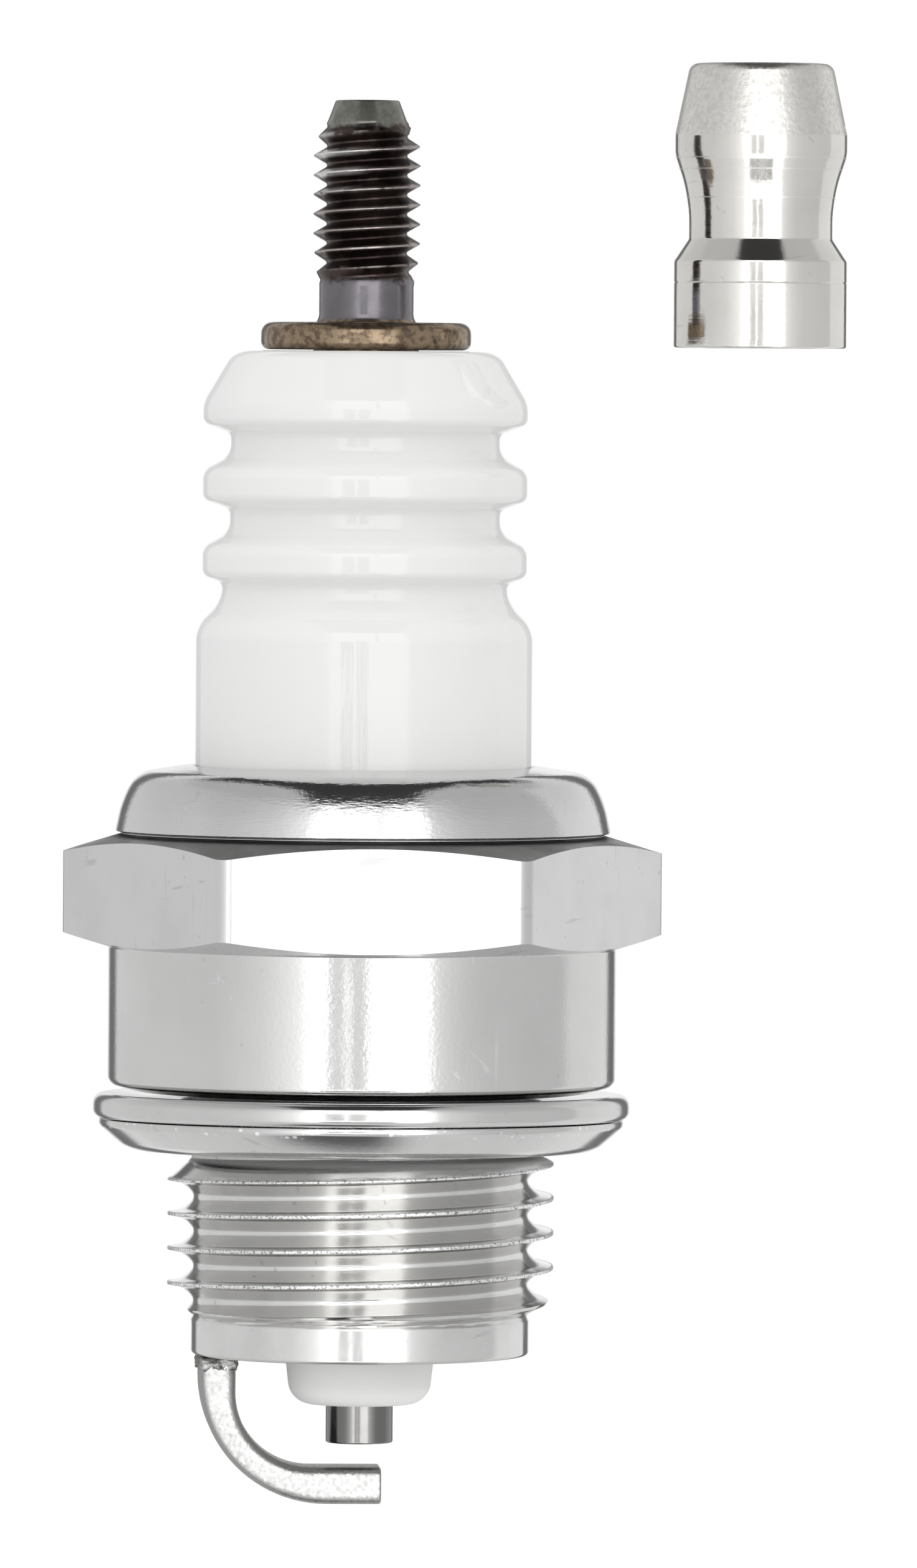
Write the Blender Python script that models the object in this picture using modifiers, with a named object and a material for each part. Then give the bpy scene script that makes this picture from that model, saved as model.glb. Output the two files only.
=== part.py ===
"""A resistor spark plug with an M14 thread and a 19 mm hexagon, with its terminal nut off and beside it.

Metres, +Z up along the plug's axis. The origin is the centre of the gasket seat, the flat under the collar.
"""

from math import acos, atan2, ceil, cos, hypot, pi, radians, sin, sqrt, tan

import bmesh
import bpy
from mathutils import Matrix

# Fits
FIT_GAP = 0.00005  # between pieces that touch, measured square to the surfaces
MERGE_DISTANCE = 0.000001
AXIS_STEPS = 32  # facets round the outer pieces
CORE_STEPS = 16  # facets round the pieces in the insulator's bore
ARC_TOLERANCE = 0.00003  # between a rounded corner and its facets
SHARP_ANGLE = radians(32)
FLAT_ANGLE = radians(0.5)  # facets that turn less than this are one face

# Shell above the gasket seat
COLLAR_INSET = 0.0003  # from the hexagon's flats
COLLAR_HEIGHT = 0.00517
COLLAR_CORNER_RADIUS = 0.00035
HEX_ACROSS_FLATS = 0.0189
HEX_HEIGHT = 0.00406
HEX_CORNER_RADIUS = 0.0008
HEX_CORNER_FACETS = 3
HEX_CHAMFER_ANGLE = radians(17)
LIP_INSET = 0.00054  # from the hexagon's flats, so that a socket passes over the lip
LIP_HEIGHT = 0.00256
LIP_SLOPE = radians(12)
LIP_ROUND_RADIUS = 0.00175
LIP_THICKNESS = 0.0007
LIP_UNDERCUT_DEPTH = 0.00013
LIP_UNDERCUT_HEIGHT = 0.00005

# Shell below the gasket seat
THREAD_DIAMETER = 0.0139
THREAD_REACH = 0.0095
THREAD_PITCH = 0.00125
THREAD_FIRST_CREST = 0.002575  # below the gasket seat, where the crest passes +X
THREAD_FLANK_ANGLE = radians(30)
THREAD_CREST_SHARE = 0.125  # of the pitch, on both threads
THREAD_DEPTH_SHARE = 0.65
THREAD_RUNOUT = 0.0001  # of plain shank beyond each end of a thread
NECK_DIAMETER = 0.01228
PILOT_DIAMETER = 0.01218
PILOT_LENGTH = 0.0014
RIM_CHAMFER = 0.0002

# Bore of the shell
STEP_HEIGHT = 0.0026  # upper edge of the step between the two bores, above the gasket seat
STEP_ANGLE = radians(40)
NECK_WALL = 0.00149  # round the lower bore
LEDGE_DEPTH = 0.0034  # upper edge of the ledge that carries the insulator, below the gasket seat
LEDGE_ANGLE = radians(30)
LEDGE_WIDTH = 0.0009
LEDGE_LENGTH = 0.0013
FIRING_WALL = 0.00159  # round the open end
FIRING_BORE_ANGLE = radians(45)

# Insulator
INSULATOR_HEIGHT_ABOVE_LIP = 0.01485
INSULATOR_TOP_DIAMETER = 0.00949
INSULATOR_TOP_RADIUS = 0.00045
INSULATOR_BARREL_DIAMETER = 0.01213
RIB_DIAMETER = 0.0117
RIB_PITCH = 0.00274
RIB_RIM_HEIGHT = 0.00102
RIB_TOP_ANGLE = radians(29)
RIB_TOP_RADIUS = 0.00046
RIB_UNDERSIDE_ANGLE = radians(22)
RIB_UNDERSIDE_RADIUS = 0.00018
TOP_CONE_HEIGHT = 0.00187
TOP_RIM_HEIGHT = 0.00074
GROOVE_DEPTHS = (0.001, 0.00098, 0.0007)
GROOVE_CORNER_RADIUS = 0.0003
GROOVE_FILLET_RADIUS = 0.00066
SHOULDER_ANGLE = radians(25)
SHOULDER_CLEARANCE = 0.0003  # between the insulator's shoulder and the step in the shell
NOSE_CLEARANCE = 0.0004  # between the nose's root and the ledge
NOSE_TIP_DIAMETER = 0.00498
NOSE_TIP_RADIUS = 0.0009
NOSE_PROTRUSION = 0.0018  # beyond the end of the shell
BORE_STEP_DEPTH = 0.0016  # seat of the centre electrode, below the gasket seat
BORE_STEP_ANGLE = radians(45)

# Gas seals between the insulator and the shell
PACKING_WIRE_DIAMETER = 0.00089
TALC_HEIGHT = 0.0019
WASHER_THICKNESS = 0.0003

# Terminal stud
STEM_DIAMETER = 0.0038
STEM_TIP_STEP = 0.0006  # how much thinner the tip is, on the radius
STEM_TIP_LENGTH = 0.0013
FLANGE_DIAMETER = 0.00756
FLANGE_HEIGHT = 0.00098
FLANGE_RIM_RADIUS = 0.0004
SHANK_DIAMETER = 0.00343
SHANK_LENGTH = 0.00146
STUD_THREAD_DIAMETER = 0.00384
STUD_THREAD_PITCH = 0.0007
STUD_THREAD_LENGTH = 0.00481
STUD_POINT_BASE_DIAMETER = 0.00289
STUD_POINT_DIAMETER = 0.00228
STUD_POINT_LENGTH = 0.0009
STUD_THREAD_CHAMFER = 0.0002
STUD_CHAMFER_ANGLE = radians(60)

# Parts of the conductor in the insulator's bore
UPPER_GLASS_HEIGHT = 0.00265
RESISTOR_LENGTH = 0.006
LOWER_GLASS_HEIGHT = 0.0039
HEAD_HEIGHT = 0.00088
HEAD_STUB_WALL = 0.00035  # round the copper core
HEAD_STUB_HEIGHT = 0.0012
CENTRE_ELECTRODE_DIAMETER = 0.00242
CENTRE_ELECTRODE_PROTRUSION = 0.0014  # beyond the nose
CENTRE_ELECTRODE_EDGE = 0.00008
CORE_DIAMETER = 0.0013
CORE_TIP_COVER = 0.003

# Ground electrode
SPARK_GAP = 0.00085
GROUND_THICKNESS = 0.00132
GROUND_WIDTH = 0.0025
GROUND_BEND_RADIUS = 0.0027  # inside of the bend
GROUND_BEND_FLATTENING = 0.00058  # added to the outside radius, because the bar thins as it bends
GROUND_EDGE_RADIUS = 0.0003
GROUND_EDGE_FACETS = 2
GROUND_TIP_OVERHANG = 0.00076  # past the axis

# Folded gasket
GASKET_NECK_CLEARANCE = 0.00026
GASKET_OVERHANG = 0.00052  # past the collar
GASKET_HEIGHT = 0.00207
GASKET_PLAY = 0.0002  # free travel between the seat and the thread
GASKET_SHEET = 0.00035
GASKET_FOLD_GAP = 0.00036  # inside the upper roll
GASKET_SEAM_INSET = 0.00017  # of the lower roll's edge, from the outside
GASKET_FLAT_INSET = 0.00131  # of the flat that meets the engine, from the outside
GASKET_SLOPE_RADIUS = 0.0003
GASKET_INNER_RADIUS = 0.0007
GASKET_TUCK_CLEARANCE = 0.0008  # between the tucked edge and the inner wall
GASKET_LOWER_RISE = 0.7  # share of the lower roll's height that slopes before it turns upright

# Terminal nut, from its foot upwards
NUT_AXIS_OFFSET = 0.0142  # beside the plug, where the photograph shows it
NUT_FOOT_HEIGHT = 0.0002  # above the insulator's top
NUT_FOOT_DIAMETER = 0.00624
NUT_FOOT_LENGTH = 0.00313
NUT_TAPER_LENGTH = 0.0008
NUT_WAIST_WALL = 0.00062
NUT_WAIST_LENGTH = 0.00147
NUT_FLARE_LENGTH = 0.00154
NUT_FLARE_RADIUS = 0.0055
NUT_BAND_DIAMETER = 0.00621
NUT_BAND_LENGTH = 0.000705
NUT_CONE_LENGTH = 0.002605
NUT_TOP_WALL = 0.000345  # between the bore's chamfer and the top edge
NUT_TOP_RADIUS = 0.0003
NUT_EDGE_RADIUS = 0.00012
NUT_BORE_CHAMFER = 0.00025

# Colour, roughness and metallic value of each finish
FINISHES = {
    "nickel_plated_steel": ((0.62, 0.62, 0.61), 0.22, 1.0),
    "glazed_alumina": ((0.84, 0.84, 0.82), 0.12, 0.0),
    "browned_steel": ((0.15, 0.13, 0.12), 0.34, 1.0),
    "silver_plated_steel": ((0.66, 0.64, 0.60), 0.2, 1.0),
    "gasket_steel": ((0.60, 0.60, 0.60), 0.24, 1.0),
    "nickel_alloy": ((0.52, 0.51, 0.49), 0.36, 1.0),
    "copper": ((0.72, 0.38, 0.22), 0.3, 1.0),
    "plain_steel": ((0.45, 0.45, 0.46), 0.4, 1.0),
    "talc_powder": ((0.80, 0.79, 0.75), 0.9, 0.0),
    "copper_glass": ((0.30, 0.19, 0.14), 0.45, 0.0),
    "carbon_composite": ((0.05, 0.05, 0.05), 0.6, 0.0),
}

# Heights that several pieces share
lip_top = COLLAR_HEIGHT + HEX_HEIGHT + LIP_HEIGHT
lip_underside = lip_top - LIP_THICKNESS
insulator_top = lip_top + INSULATOR_HEIGHT_ABOVE_LIP
nose_tip = -THREAD_REACH - NOSE_PROTRUSION
electrode_tip = nose_tip - CENTRE_ELECTRODE_PROTRUSION

# Radii that several pieces share
flat_distance = HEX_ACROSS_FLATS / 2
hex_radius = HEX_ACROSS_FLATS / sqrt(3)
collar_radius = flat_distance - COLLAR_INSET
barrel_radius = INSULATOR_BARREL_DIAMETER / 2
packing_radius = barrel_radius + FIT_GAP + PACKING_WIRE_DIAMETER / 2
chamber_radius = barrel_radius + 2 * FIT_GAP + PACKING_WIRE_DIAMETER
lower_bore_radius = NECK_DIAMETER / 2 - NECK_WALL
ledge_radius = lower_bore_radius - LEDGE_WIDTH
firing_radius = PILOT_DIAMETER / 2 - FIRING_WALL
core_radius = STEM_DIAMETER / 2
core_bore_radius = core_radius + FIT_GAP
stem_tip_radius = core_radius - STEM_TIP_STEP
electrode_radius = CENTRE_ELECTRODE_DIAMETER / 2
gasket_bore_radius = NECK_DIAMETER / 2 + GASKET_NECK_CLEARANCE
gasket_outer_radius = collar_radius + GASKET_OVERHANG

# Packing under the lip, from the top down
upper_ring_height = lip_underside - FIT_GAP - PACKING_WIRE_DIAMETER / 2
talc_top = upper_ring_height - PACKING_WIRE_DIAMETER / 2 - FIT_GAP
talc_bottom = talc_top - TALC_HEIGHT
lower_ring_height = talc_bottom - FIT_GAP - PACKING_WIRE_DIAMETER / 2

# Conductor in the bore, from the electrode's seat up
head_bottom = -BORE_STEP_DEPTH + FIT_GAP / cos(BORE_STEP_ANGLE) - FIT_GAP * tan(BORE_STEP_ANGLE)
head_top = head_bottom + HEAD_HEIGHT
stub_top = head_top + HEAD_STUB_HEIGHT
lower_glass_bottom = head_top + FIT_GAP
lower_glass_top = lower_glass_bottom + LOWER_GLASS_HEIGHT
resistor_bottom = lower_glass_top + FIT_GAP
resistor_top = resistor_bottom + RESISTOR_LENGTH
upper_glass_bottom = resistor_top + FIT_GAP
upper_glass_top = upper_glass_bottom + UPPER_GLASS_HEIGHT
stem_bottom = upper_glass_top + FIT_GAP

# Gasket between the seat and the first flank of the thread
gasket_top = -GASKET_PLAY
gasket_bottom = gasket_top - GASKET_HEIGHT
flank_rise = (GASKET_INNER_RADIUS + FIT_GAP) / cos(THREAD_FLANK_ANGLE)
flank_drop = (GASKET_NECK_CLEARANCE + GASKET_INNER_RADIUS) * tan(THREAD_FLANK_ANGLE)
neck_length = flank_rise - flank_drop - gasket_bottom - GASKET_INNER_RADIUS


def ledge_height(radius):
    """Height of the shell's conical ledge at this distance from the axis."""
    return -LEDGE_DEPTH - (lower_bore_radius - radius) * tan(LEDGE_ANGLE)


def step_height(radius):
    """Height of the conical step between the shell's two bores."""
    return STEP_HEIGHT - (chamber_radius - radius) * tan(STEP_ANGLE)


def shoulder_height(radius):
    """Height of the insulator's upper shoulder, on which the lower packing ring rests."""
    below_ring = (PACKING_WIRE_DIAMETER / 2 + FIT_GAP) / cos(SHOULDER_ANGLE)
    return lower_ring_height - below_ring - (radius - packing_radius) * tan(SHOULDER_ANGLE)


def arc_steps(radius, turn):
    """How many facets keep an arc within the tolerance."""
    widest = 2 * acos(max(1 - ARC_TOLERANCE / radius, 0))
    return ceil(turn / widest)


def rounded(corners, closed=True):
    """Turns (x, y, radius) corners into points, with an arc of that radius, or of what fits, at each."""
    count = len(corners)
    points = []
    for index, (x, y, radius) in enumerate(corners):
        is_end = not closed and index in (0, count - 1)
        if radius == 0 or is_end:
            points.append((x, y))
            continue
        neighbours = (corners[index - 1], corners[(index + 1) % count])
        headings = [atan2(far_y - y, far_x - x) for far_x, far_y, _ in neighbours]
        room = [hypot(far_x - x, far_y - y) / (2 if arc else 1) for far_x, far_y, arc in neighbours]
        start = headings[0]
        opening = (headings[1] - start + pi) % (2 * pi) - pi
        turn = pi - abs(opening)
        reach = min(radius * tan(turn / 2), *room)
        arc_radius = reach / tan(turn / 2)
        middle = start + opening / 2
        centre_distance = hypot(reach, arc_radius)
        centre_x = x + centre_distance * cos(middle)
        centre_y = y + centre_distance * sin(middle)
        first = atan2(y + reach * sin(start) - centre_y, x + reach * cos(start) - centre_x)
        sweep = -turn if opening > 0 else turn
        steps = arc_steps(arc_radius, turn)
        for step in range(steps + 1):
            angle = first + sweep * step / steps
            points.append((centre_x + arc_radius * cos(angle), centre_y + arc_radius * sin(angle)))
    return points


def strip(path, thickness):
    """Closed outline of a folded sheet of this thickness along an open path."""
    sides = ([], [])
    for index, (x, y) in enumerate(path):
        before = path[max(index - 1, 0)]
        after = path[min(index + 1, len(path) - 1)]
        legs = [(x - before[0], y - before[1]), (after[0] - x, after[1] - y)]
        headings = [atan2(dy, dx) for dx, dy in legs if hypot(dx, dy) > 0]
        bend = (headings[-1] - headings[0] + pi) % (2 * pi) - pi
        normal = headings[0] + bend / 2 + pi / 2
        reach = thickness / 2 / cos(bend / 2)
        sides[0].append((x + reach * cos(normal), y + reach * sin(normal)))
        sides[1].append((x - reach * cos(normal), y - reach * sin(normal)))
    return sides[0] + sides[1][::-1]


def make_finish(name):
    colour, roughness, metallic = FINISHES[name]
    finish = bpy.data.materials.get(name) or bpy.data.materials.new(name)
    finish.use_nodes = True
    shader = finish.node_tree.nodes["Principled BSDF"]
    shader.inputs["Base Color"].default_value = (*colour, 1.0)
    shader.inputs["Roughness"].default_value = roughness
    shader.inputs["Metallic"].default_value = metallic
    return finish


def keep_mesh(piece):
    """Replaces the piece's modifiers with the mesh they make, smooth on the round and sharp at corners."""
    bpy.context.view_layer.update()
    graph = bpy.context.evaluated_depsgraph_get()
    mesh = bpy.data.meshes.new_from_object(piece.evaluated_get(graph))
    mesh.name = piece.name
    piece.modifiers.clear()
    piece.data = mesh
    mesh.shade_smooth()
    mesh.set_sharp_from_angle(angle=SHARP_ANGLE)


def turned(name, outline, steps=AXIS_STEPS):
    """A piece turned round its Z axis from (radius, height) points, closed along the axis or on itself."""
    area = sum(a[0] * b[1] - b[0] * a[1] for a, b in zip(outline, outline[1:] + outline[:1]))
    if area > 0:
        outline = outline[::-1]
    edges = [(i, i + 1) for i in range(len(outline) - 1)]
    if outline[0][0] > 0 or outline[-1][0] > 0:
        edges.append((len(outline) - 1, 0))
    mesh = bpy.data.meshes.new(name)
    mesh.from_pydata([(radius, 0, height) for radius, height in outline], edges, [])
    piece = bpy.data.objects.new(name, mesh)
    parts.objects.link(piece)
    screw = piece.modifiers.new("turn", "SCREW")
    screw.axis = "Z"
    screw.angle = 2 * pi
    screw.steps = steps
    screw.render_steps = steps
    screw.use_merge_vertices = True
    screw.merge_threshold = MERGE_DISTANCE
    keep_mesh(piece)
    return piece


def limit_at(limits, height):
    """Radius at this height along (height, radius) points that run from the bottom up."""
    for (low, low_radius), (high, high_radius) in zip(limits, limits[1:]):
        if height <= high:
            share = max(height - low, 0) / (high - low)
            return low_radius + share * (high_radius - low_radius)
    return limits[-1][1]


def cut_thread(piece, pitch, first_crest, limits, steps=AXIS_STEPS):
    """Puts a right-hand thread in place of the plain band between the ends of its limits.

    The limits are (height, radius) points from the bottom up that the thread stays within.
    """
    bottom, top = limits[0][0], limits[-1][0]
    crest_radius = max(radius for _, radius in limits)
    root_radius = crest_radius - THREAD_DEPTH_SHARE * pitch
    half_crest = THREAD_CREST_SHARE * pitch / 2
    lowest = first_crest - ceil((first_crest - bottom) / pitch + 1) * pitch
    turns = ceil((top - lowest) / pitch) + 1
    ridge = [
        (crest_radius, lowest - half_crest),
        (crest_radius, lowest + half_crest),
        (root_radius, lowest + pitch / 2),
        (crest_radius, lowest + pitch - half_crest),
    ]
    mesh = bmesh.new()
    verts = [mesh.verts.new((radius, 0, height)) for radius, height in ridge]
    edges = [mesh.edges.new(pair) for pair in zip(verts, verts[1:])]
    bmesh.ops.spin(
        mesh,
        geom=verts + edges,
        axis=(0, 0, 1),
        dvec=(0, 0, pitch / steps),
        angle=2 * pi * turns,
        steps=steps * turns,
    )
    bmesh.ops.remove_doubles(mesh, verts=mesh.verts, dist=MERGE_DISTANCE)
    for height, _ in limits:
        bmesh.ops.bisect_plane(
            mesh,
            geom=mesh.verts[:] + mesh.edges[:] + mesh.faces[:],
            dist=MERGE_DISTANCE,
            plane_co=(0, 0, height),
            plane_no=(0, 0, 1),
            clear_inner=height == bottom,
            clear_outer=height == top,
        )
    for vert in mesh.verts:
        share = min(limit_at(limits, vert.co.z) / hypot(vert.co.x, vert.co.y), 1)
        vert.co.x *= share
        vert.co.y *= share
    bmesh.ops.remove_doubles(mesh, verts=mesh.verts, dist=ARC_TOLERANCE)
    bmesh.ops.triangulate(mesh, faces=mesh.faces)

    mesh.from_mesh(piece.data)
    band_ends = (bottom - THREAD_RUNOUT, top + THREAD_RUNOUT)
    band = []
    for face in mesh.faces:
        heights = [vert.co.z for vert in face.verts]
        reach = (min(heights), max(heights))
        if all(abs(a - b) < MERGE_DISTANCE for a, b in zip(reach, band_ends)):
            band.append(face)
    bmesh.ops.delete(mesh, geom=band, context="FACES")
    rims = [edge for edge in mesh.edges if edge.is_boundary]
    middle = (bottom + top) / 2
    for is_upper in (False, True):
        ring = [edge for edge in rims if (edge.verts[0].co.z > middle) == is_upper]
        joined = bmesh.ops.bridge_loops(mesh, edges=ring)
        bmesh.ops.triangulate(mesh, faces=joined["faces"])
    bmesh.ops.recalc_face_normals(mesh, faces=mesh.faces)
    mesh.to_mesh(piece.data)
    mesh.free()
    piece.data.shade_smooth()
    piece.data.set_sharp_from_angle(angle=SHARP_ANGLE)


def add_part(piece, finish, location=(0, 0, 0)):
    """Gives the piece its finish and its place under the plug's empty."""
    piece.data.materials.clear()
    piece.data.materials.append(make_finish(finish))
    piece.location = location
    piece.parent = plug


def make_cutter(piece):
    parts.objects.unlink(piece)
    cutters.objects.link(piece)
    piece.hide_render = True
    piece.display_type = "WIRE"


def make_hex_sleeve(bottom, top):
    """A six-sided ring whose hole is the hexagon, with rounded corners, to cut the flats with."""
    outer_radius = 2 * hex_radius
    section = [(hex_radius, bottom), (outer_radius, bottom), (outer_radius, top), (hex_radius, top)]
    sleeve = turned("hex_sleeve", section, steps=6)
    mesh = bmesh.new()
    mesh.from_mesh(sleeve.data)
    uprights = []
    for edge in mesh.edges:
        a, b = (vert.co for vert in edge.verts)
        is_upright = hypot(a.x - b.x, a.y - b.y) < MERGE_DISTANCE
        if is_upright and hypot(a.x, a.y) < (hex_radius + outer_radius) / 2:
            uprights.append(edge)
    tangent_length = HEX_CORNER_RADIUS * tan(pi / 6)
    bmesh.ops.bevel(
        mesh,
        geom=uprights,
        offset=tangent_length,
        offset_type="OFFSET",
        segments=HEX_CORNER_FACETS,
        profile=0.5,
        affect="EDGES",
    )
    bmesh.ops.recalc_face_normals(mesh, faces=mesh.faces)
    mesh.to_mesh(sleeve.data)
    mesh.free()
    sleeve.data.shade_flat()
    make_cutter(sleeve)
    return sleeve


def make_shell():
    hex_top = COLLAR_HEIGHT + HEX_HEIGHT
    lip_radius = flat_distance - LIP_INSET
    undercut_radius = lip_radius - LIP_UNDERCUT_DEPTH
    undercut_top = hex_top + LIP_UNDERCUT_HEIGHT
    lip_bore = barrel_radius + FIT_GAP
    thread_radius = THREAD_DIAMETER / 2
    neck_radius = NECK_DIAMETER / 2
    pilot_radius = PILOT_DIAMETER / 2
    thread_top = -neck_length - (thread_radius - neck_radius) * tan(THREAD_FLANK_ANGLE)
    pilot_top = -THREAD_REACH + PILOT_LENGTH
    thread_bottom = pilot_top + (thread_radius - pilot_radius) * tan(THREAD_FLANK_ANGLE)
    ledge_bottom = ledge_height(ledge_radius) - LEDGE_LENGTH
    firing_top = ledge_bottom - (firing_radius - ledge_radius) * tan(FIRING_BORE_ANGLE)

    outside = [
        (lip_bore, lip_top, 0),
        (lip_radius, lip_top - (lip_radius - lip_bore) * tan(LIP_SLOPE), LIP_ROUND_RADIUS),
        (lip_radius, undercut_top + LIP_UNDERCUT_DEPTH, 0),
        (undercut_radius, undercut_top, 0),
        (undercut_radius, hex_top, 0),
        (hex_radius, hex_top - (hex_radius - undercut_radius) * tan(HEX_CHAMFER_ANGLE), 0),
        (hex_radius, COLLAR_HEIGHT + (hex_radius - collar_radius) * tan(HEX_CHAMFER_ANGLE), 0),
        (collar_radius, COLLAR_HEIGHT, 0),
        (collar_radius, 0, COLLAR_CORNER_RADIUS),
        (neck_radius, 0, 0),
        (neck_radius, -neck_length + THREAD_RUNOUT, 0),
        (pilot_radius, pilot_top - THREAD_RUNOUT, 0),
        (pilot_radius, -THREAD_REACH + RIM_CHAMFER, 0),
        (pilot_radius - RIM_CHAMFER, -THREAD_REACH, 0),
    ]
    bore = [
        (firing_radius, -THREAD_REACH, 0),
        (firing_radius, firing_top, 0),
        (ledge_radius, ledge_bottom, 0),
        (ledge_radius, ledge_height(ledge_radius), 0),
        (lower_bore_radius, ledge_height(lower_bore_radius), 0),
        (lower_bore_radius, step_height(lower_bore_radius), 0),
        (chamber_radius, STEP_HEIGHT, 0),
        (chamber_radius, lip_underside, 0),
        (lip_bore, lip_underside, 0),
    ]
    shell = turned("shell", rounded(outside + bore))
    limits = [
        (pilot_top, pilot_radius),
        (thread_bottom, thread_radius),
        (thread_top, thread_radius),
        (-neck_length, neck_radius),
    ]
    cut_thread(shell, THREAD_PITCH, -THREAD_FIRST_CREST, limits)
    flats = shell.modifiers.new("hexagon flats", "BOOLEAN")
    flats.operation = "DIFFERENCE"
    flats.solver = "EXACT"
    flats.object = make_hex_sleeve(COLLAR_HEIGHT, hex_top)
    add_part(shell, "nickel_plated_steel")


def make_insulator():
    rib_radius = RIB_DIAMETER / 2
    top_rim = insulator_top - TOP_CONE_HEIGHT
    outside = [
        (INSULATOR_TOP_DIAMETER / 2, insulator_top, INSULATOR_TOP_RADIUS),
        (rib_radius, top_rim, RIB_TOP_RADIUS),
    ]
    for index, depth in enumerate(GROOVE_DEPTHS):
        root = rib_radius - depth
        is_lowest = index == len(GROOVE_DEPTHS) - 1
        next_radius = barrel_radius if is_lowest else rib_radius
        rim_bottom = top_rim - TOP_RIM_HEIGHT - index * RIB_PITCH
        next_rim_top = rim_bottom - RIB_PITCH + RIB_RIM_HEIGHT
        underside_drop = depth * tan(RIB_UNDERSIDE_ANGLE)
        rise = (next_radius - root) * tan(RIB_TOP_ANGLE)
        outside += [
            (rib_radius, rim_bottom, RIB_UNDERSIDE_RADIUS),
            (root, rim_bottom - underside_drop, GROOVE_CORNER_RADIUS),
            (root, next_rim_top + rise, GROOVE_FILLET_RADIUS),
            (next_radius, next_rim_top, RIB_TOP_RADIUS),
        ]

    shoulder_radius = chamber_radius - FIT_GAP
    leg_radius = lower_bore_radius - FIT_GAP
    nose_radius = ledge_radius - NOSE_CLEARANCE
    seat_rise = WASHER_THICKNESS + 2 * FIT_GAP / cos(LEDGE_ANGLE)
    electrode_bore = electrode_radius + FIT_GAP
    bore_step_drop = (core_bore_radius - electrode_bore) * tan(BORE_STEP_ANGLE)
    inside_shell = [
        (barrel_radius, shoulder_height(barrel_radius), 0),
        (shoulder_radius, shoulder_height(shoulder_radius), 0),
        (shoulder_radius, step_height(shoulder_radius) + SHOULDER_CLEARANCE, 0),
        (leg_radius, step_height(leg_radius) + SHOULDER_CLEARANCE, 0),
        (leg_radius, ledge_height(leg_radius) + seat_rise, 0),
        (nose_radius, ledge_height(nose_radius) + seat_rise, 0),
        (NOSE_TIP_DIAMETER / 2, nose_tip, NOSE_TIP_RADIUS),
    ]
    bore = [
        (electrode_bore, nose_tip, 0),
        (electrode_bore, -BORE_STEP_DEPTH - bore_step_drop, 0),
        (core_bore_radius, -BORE_STEP_DEPTH, 0),
        (core_bore_radius, insulator_top, 0),
    ]
    insulator = turned("insulator", rounded(outside + inside_shell + bore))
    add_part(insulator, "glazed_alumina")


def make_packing():
    """Wire rings and talc between the insulator and the shell, and the washer on the shell's ledge."""
    wire_radius = PACKING_WIRE_DIAMETER / 2
    wire_sides = arc_steps(wire_radius, 2 * pi)
    heights = {"upper_packing_ring": upper_ring_height, "lower_packing_ring": lower_ring_height}
    for name, height in heights.items():
        section = []
        for side in range(wire_sides):
            angle = 2 * pi * side / wire_sides
            section.append((packing_radius + wire_radius * cos(angle), height + wire_radius * sin(angle)))
        add_part(turned(name, section), "plain_steel")

    inner = barrel_radius + FIT_GAP
    outer = chamber_radius - FIT_GAP
    section = [(inner, talc_top), (outer, talc_top), (outer, talc_bottom), (inner, talc_bottom)]
    add_part(turned("talc_packing", section), "talc_powder")

    washer_inner = ledge_radius + FIT_GAP
    washer_outer = lower_bore_radius - FIT_GAP
    seat_gap = FIT_GAP / cos(LEDGE_ANGLE)
    section = []
    for radius, lift in ((washer_inner, 0), (washer_outer, 0), (washer_outer, 1), (washer_inner, 1)):
        section.append((radius, ledge_height(radius) + seat_gap + lift * WASHER_THICKNESS))
    add_part(turned("inner_seal_washer", section), "plain_steel")


def make_terminal_stud():
    stem_tip_bottom = stem_bottom - STEM_TIP_LENGTH
    flange_bottom = insulator_top + FIT_GAP
    flange_top = flange_bottom + FLANGE_HEIGHT
    shank_top = flange_top + SHANK_LENGTH
    thread_top = shank_top + STUD_THREAD_LENGTH
    thread_radius = STUD_THREAD_DIAMETER / 2
    point_base_radius = STUD_POINT_BASE_DIAMETER / 2
    chamfer_rise = (thread_radius - point_base_radius) * tan(STUD_CHAMFER_ANGLE)
    point_base = thread_top + chamfer_rise
    point_top = point_base + STUD_POINT_LENGTH
    point_slope = (point_base_radius - STUD_POINT_DIAMETER / 2) / STUD_POINT_LENGTH
    point_end_radius = point_base_radius - point_slope * THREAD_RUNOUT
    outline = [
        (0, point_top, 0),
        (STUD_POINT_DIAMETER / 2, point_top, 0),
        (point_end_radius, point_base + THREAD_RUNOUT, 0),
        (SHANK_DIAMETER / 2, shank_top - THREAD_RUNOUT, 0),
        (SHANK_DIAMETER / 2, flange_top, 0),
        (FLANGE_DIAMETER / 2, flange_top, FLANGE_RIM_RADIUS),
        (FLANGE_DIAMETER / 2, flange_bottom, FLANGE_RIM_RADIUS / 2),
        (core_radius, flange_bottom, 0),
        (core_radius, stem_bottom, 0),
        (stem_tip_radius, stem_bottom, 0),
        (stem_tip_radius, stem_tip_bottom, 0),
        (0, stem_tip_bottom, 0),
    ]
    stud = turned("terminal_stud", rounded(outline, closed=False), CORE_STEPS)
    limits = [
        (shank_top, SHANK_DIAMETER / 2),
        (shank_top + STUD_THREAD_CHAMFER, thread_radius),
        (thread_top, thread_radius),
        (point_base, point_base_radius),
    ]
    cut_thread(stud, STUD_THREAD_PITCH, shank_top + STUD_THREAD_PITCH, limits, CORE_STEPS)
    add_part(stud, "browned_steel")


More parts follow.
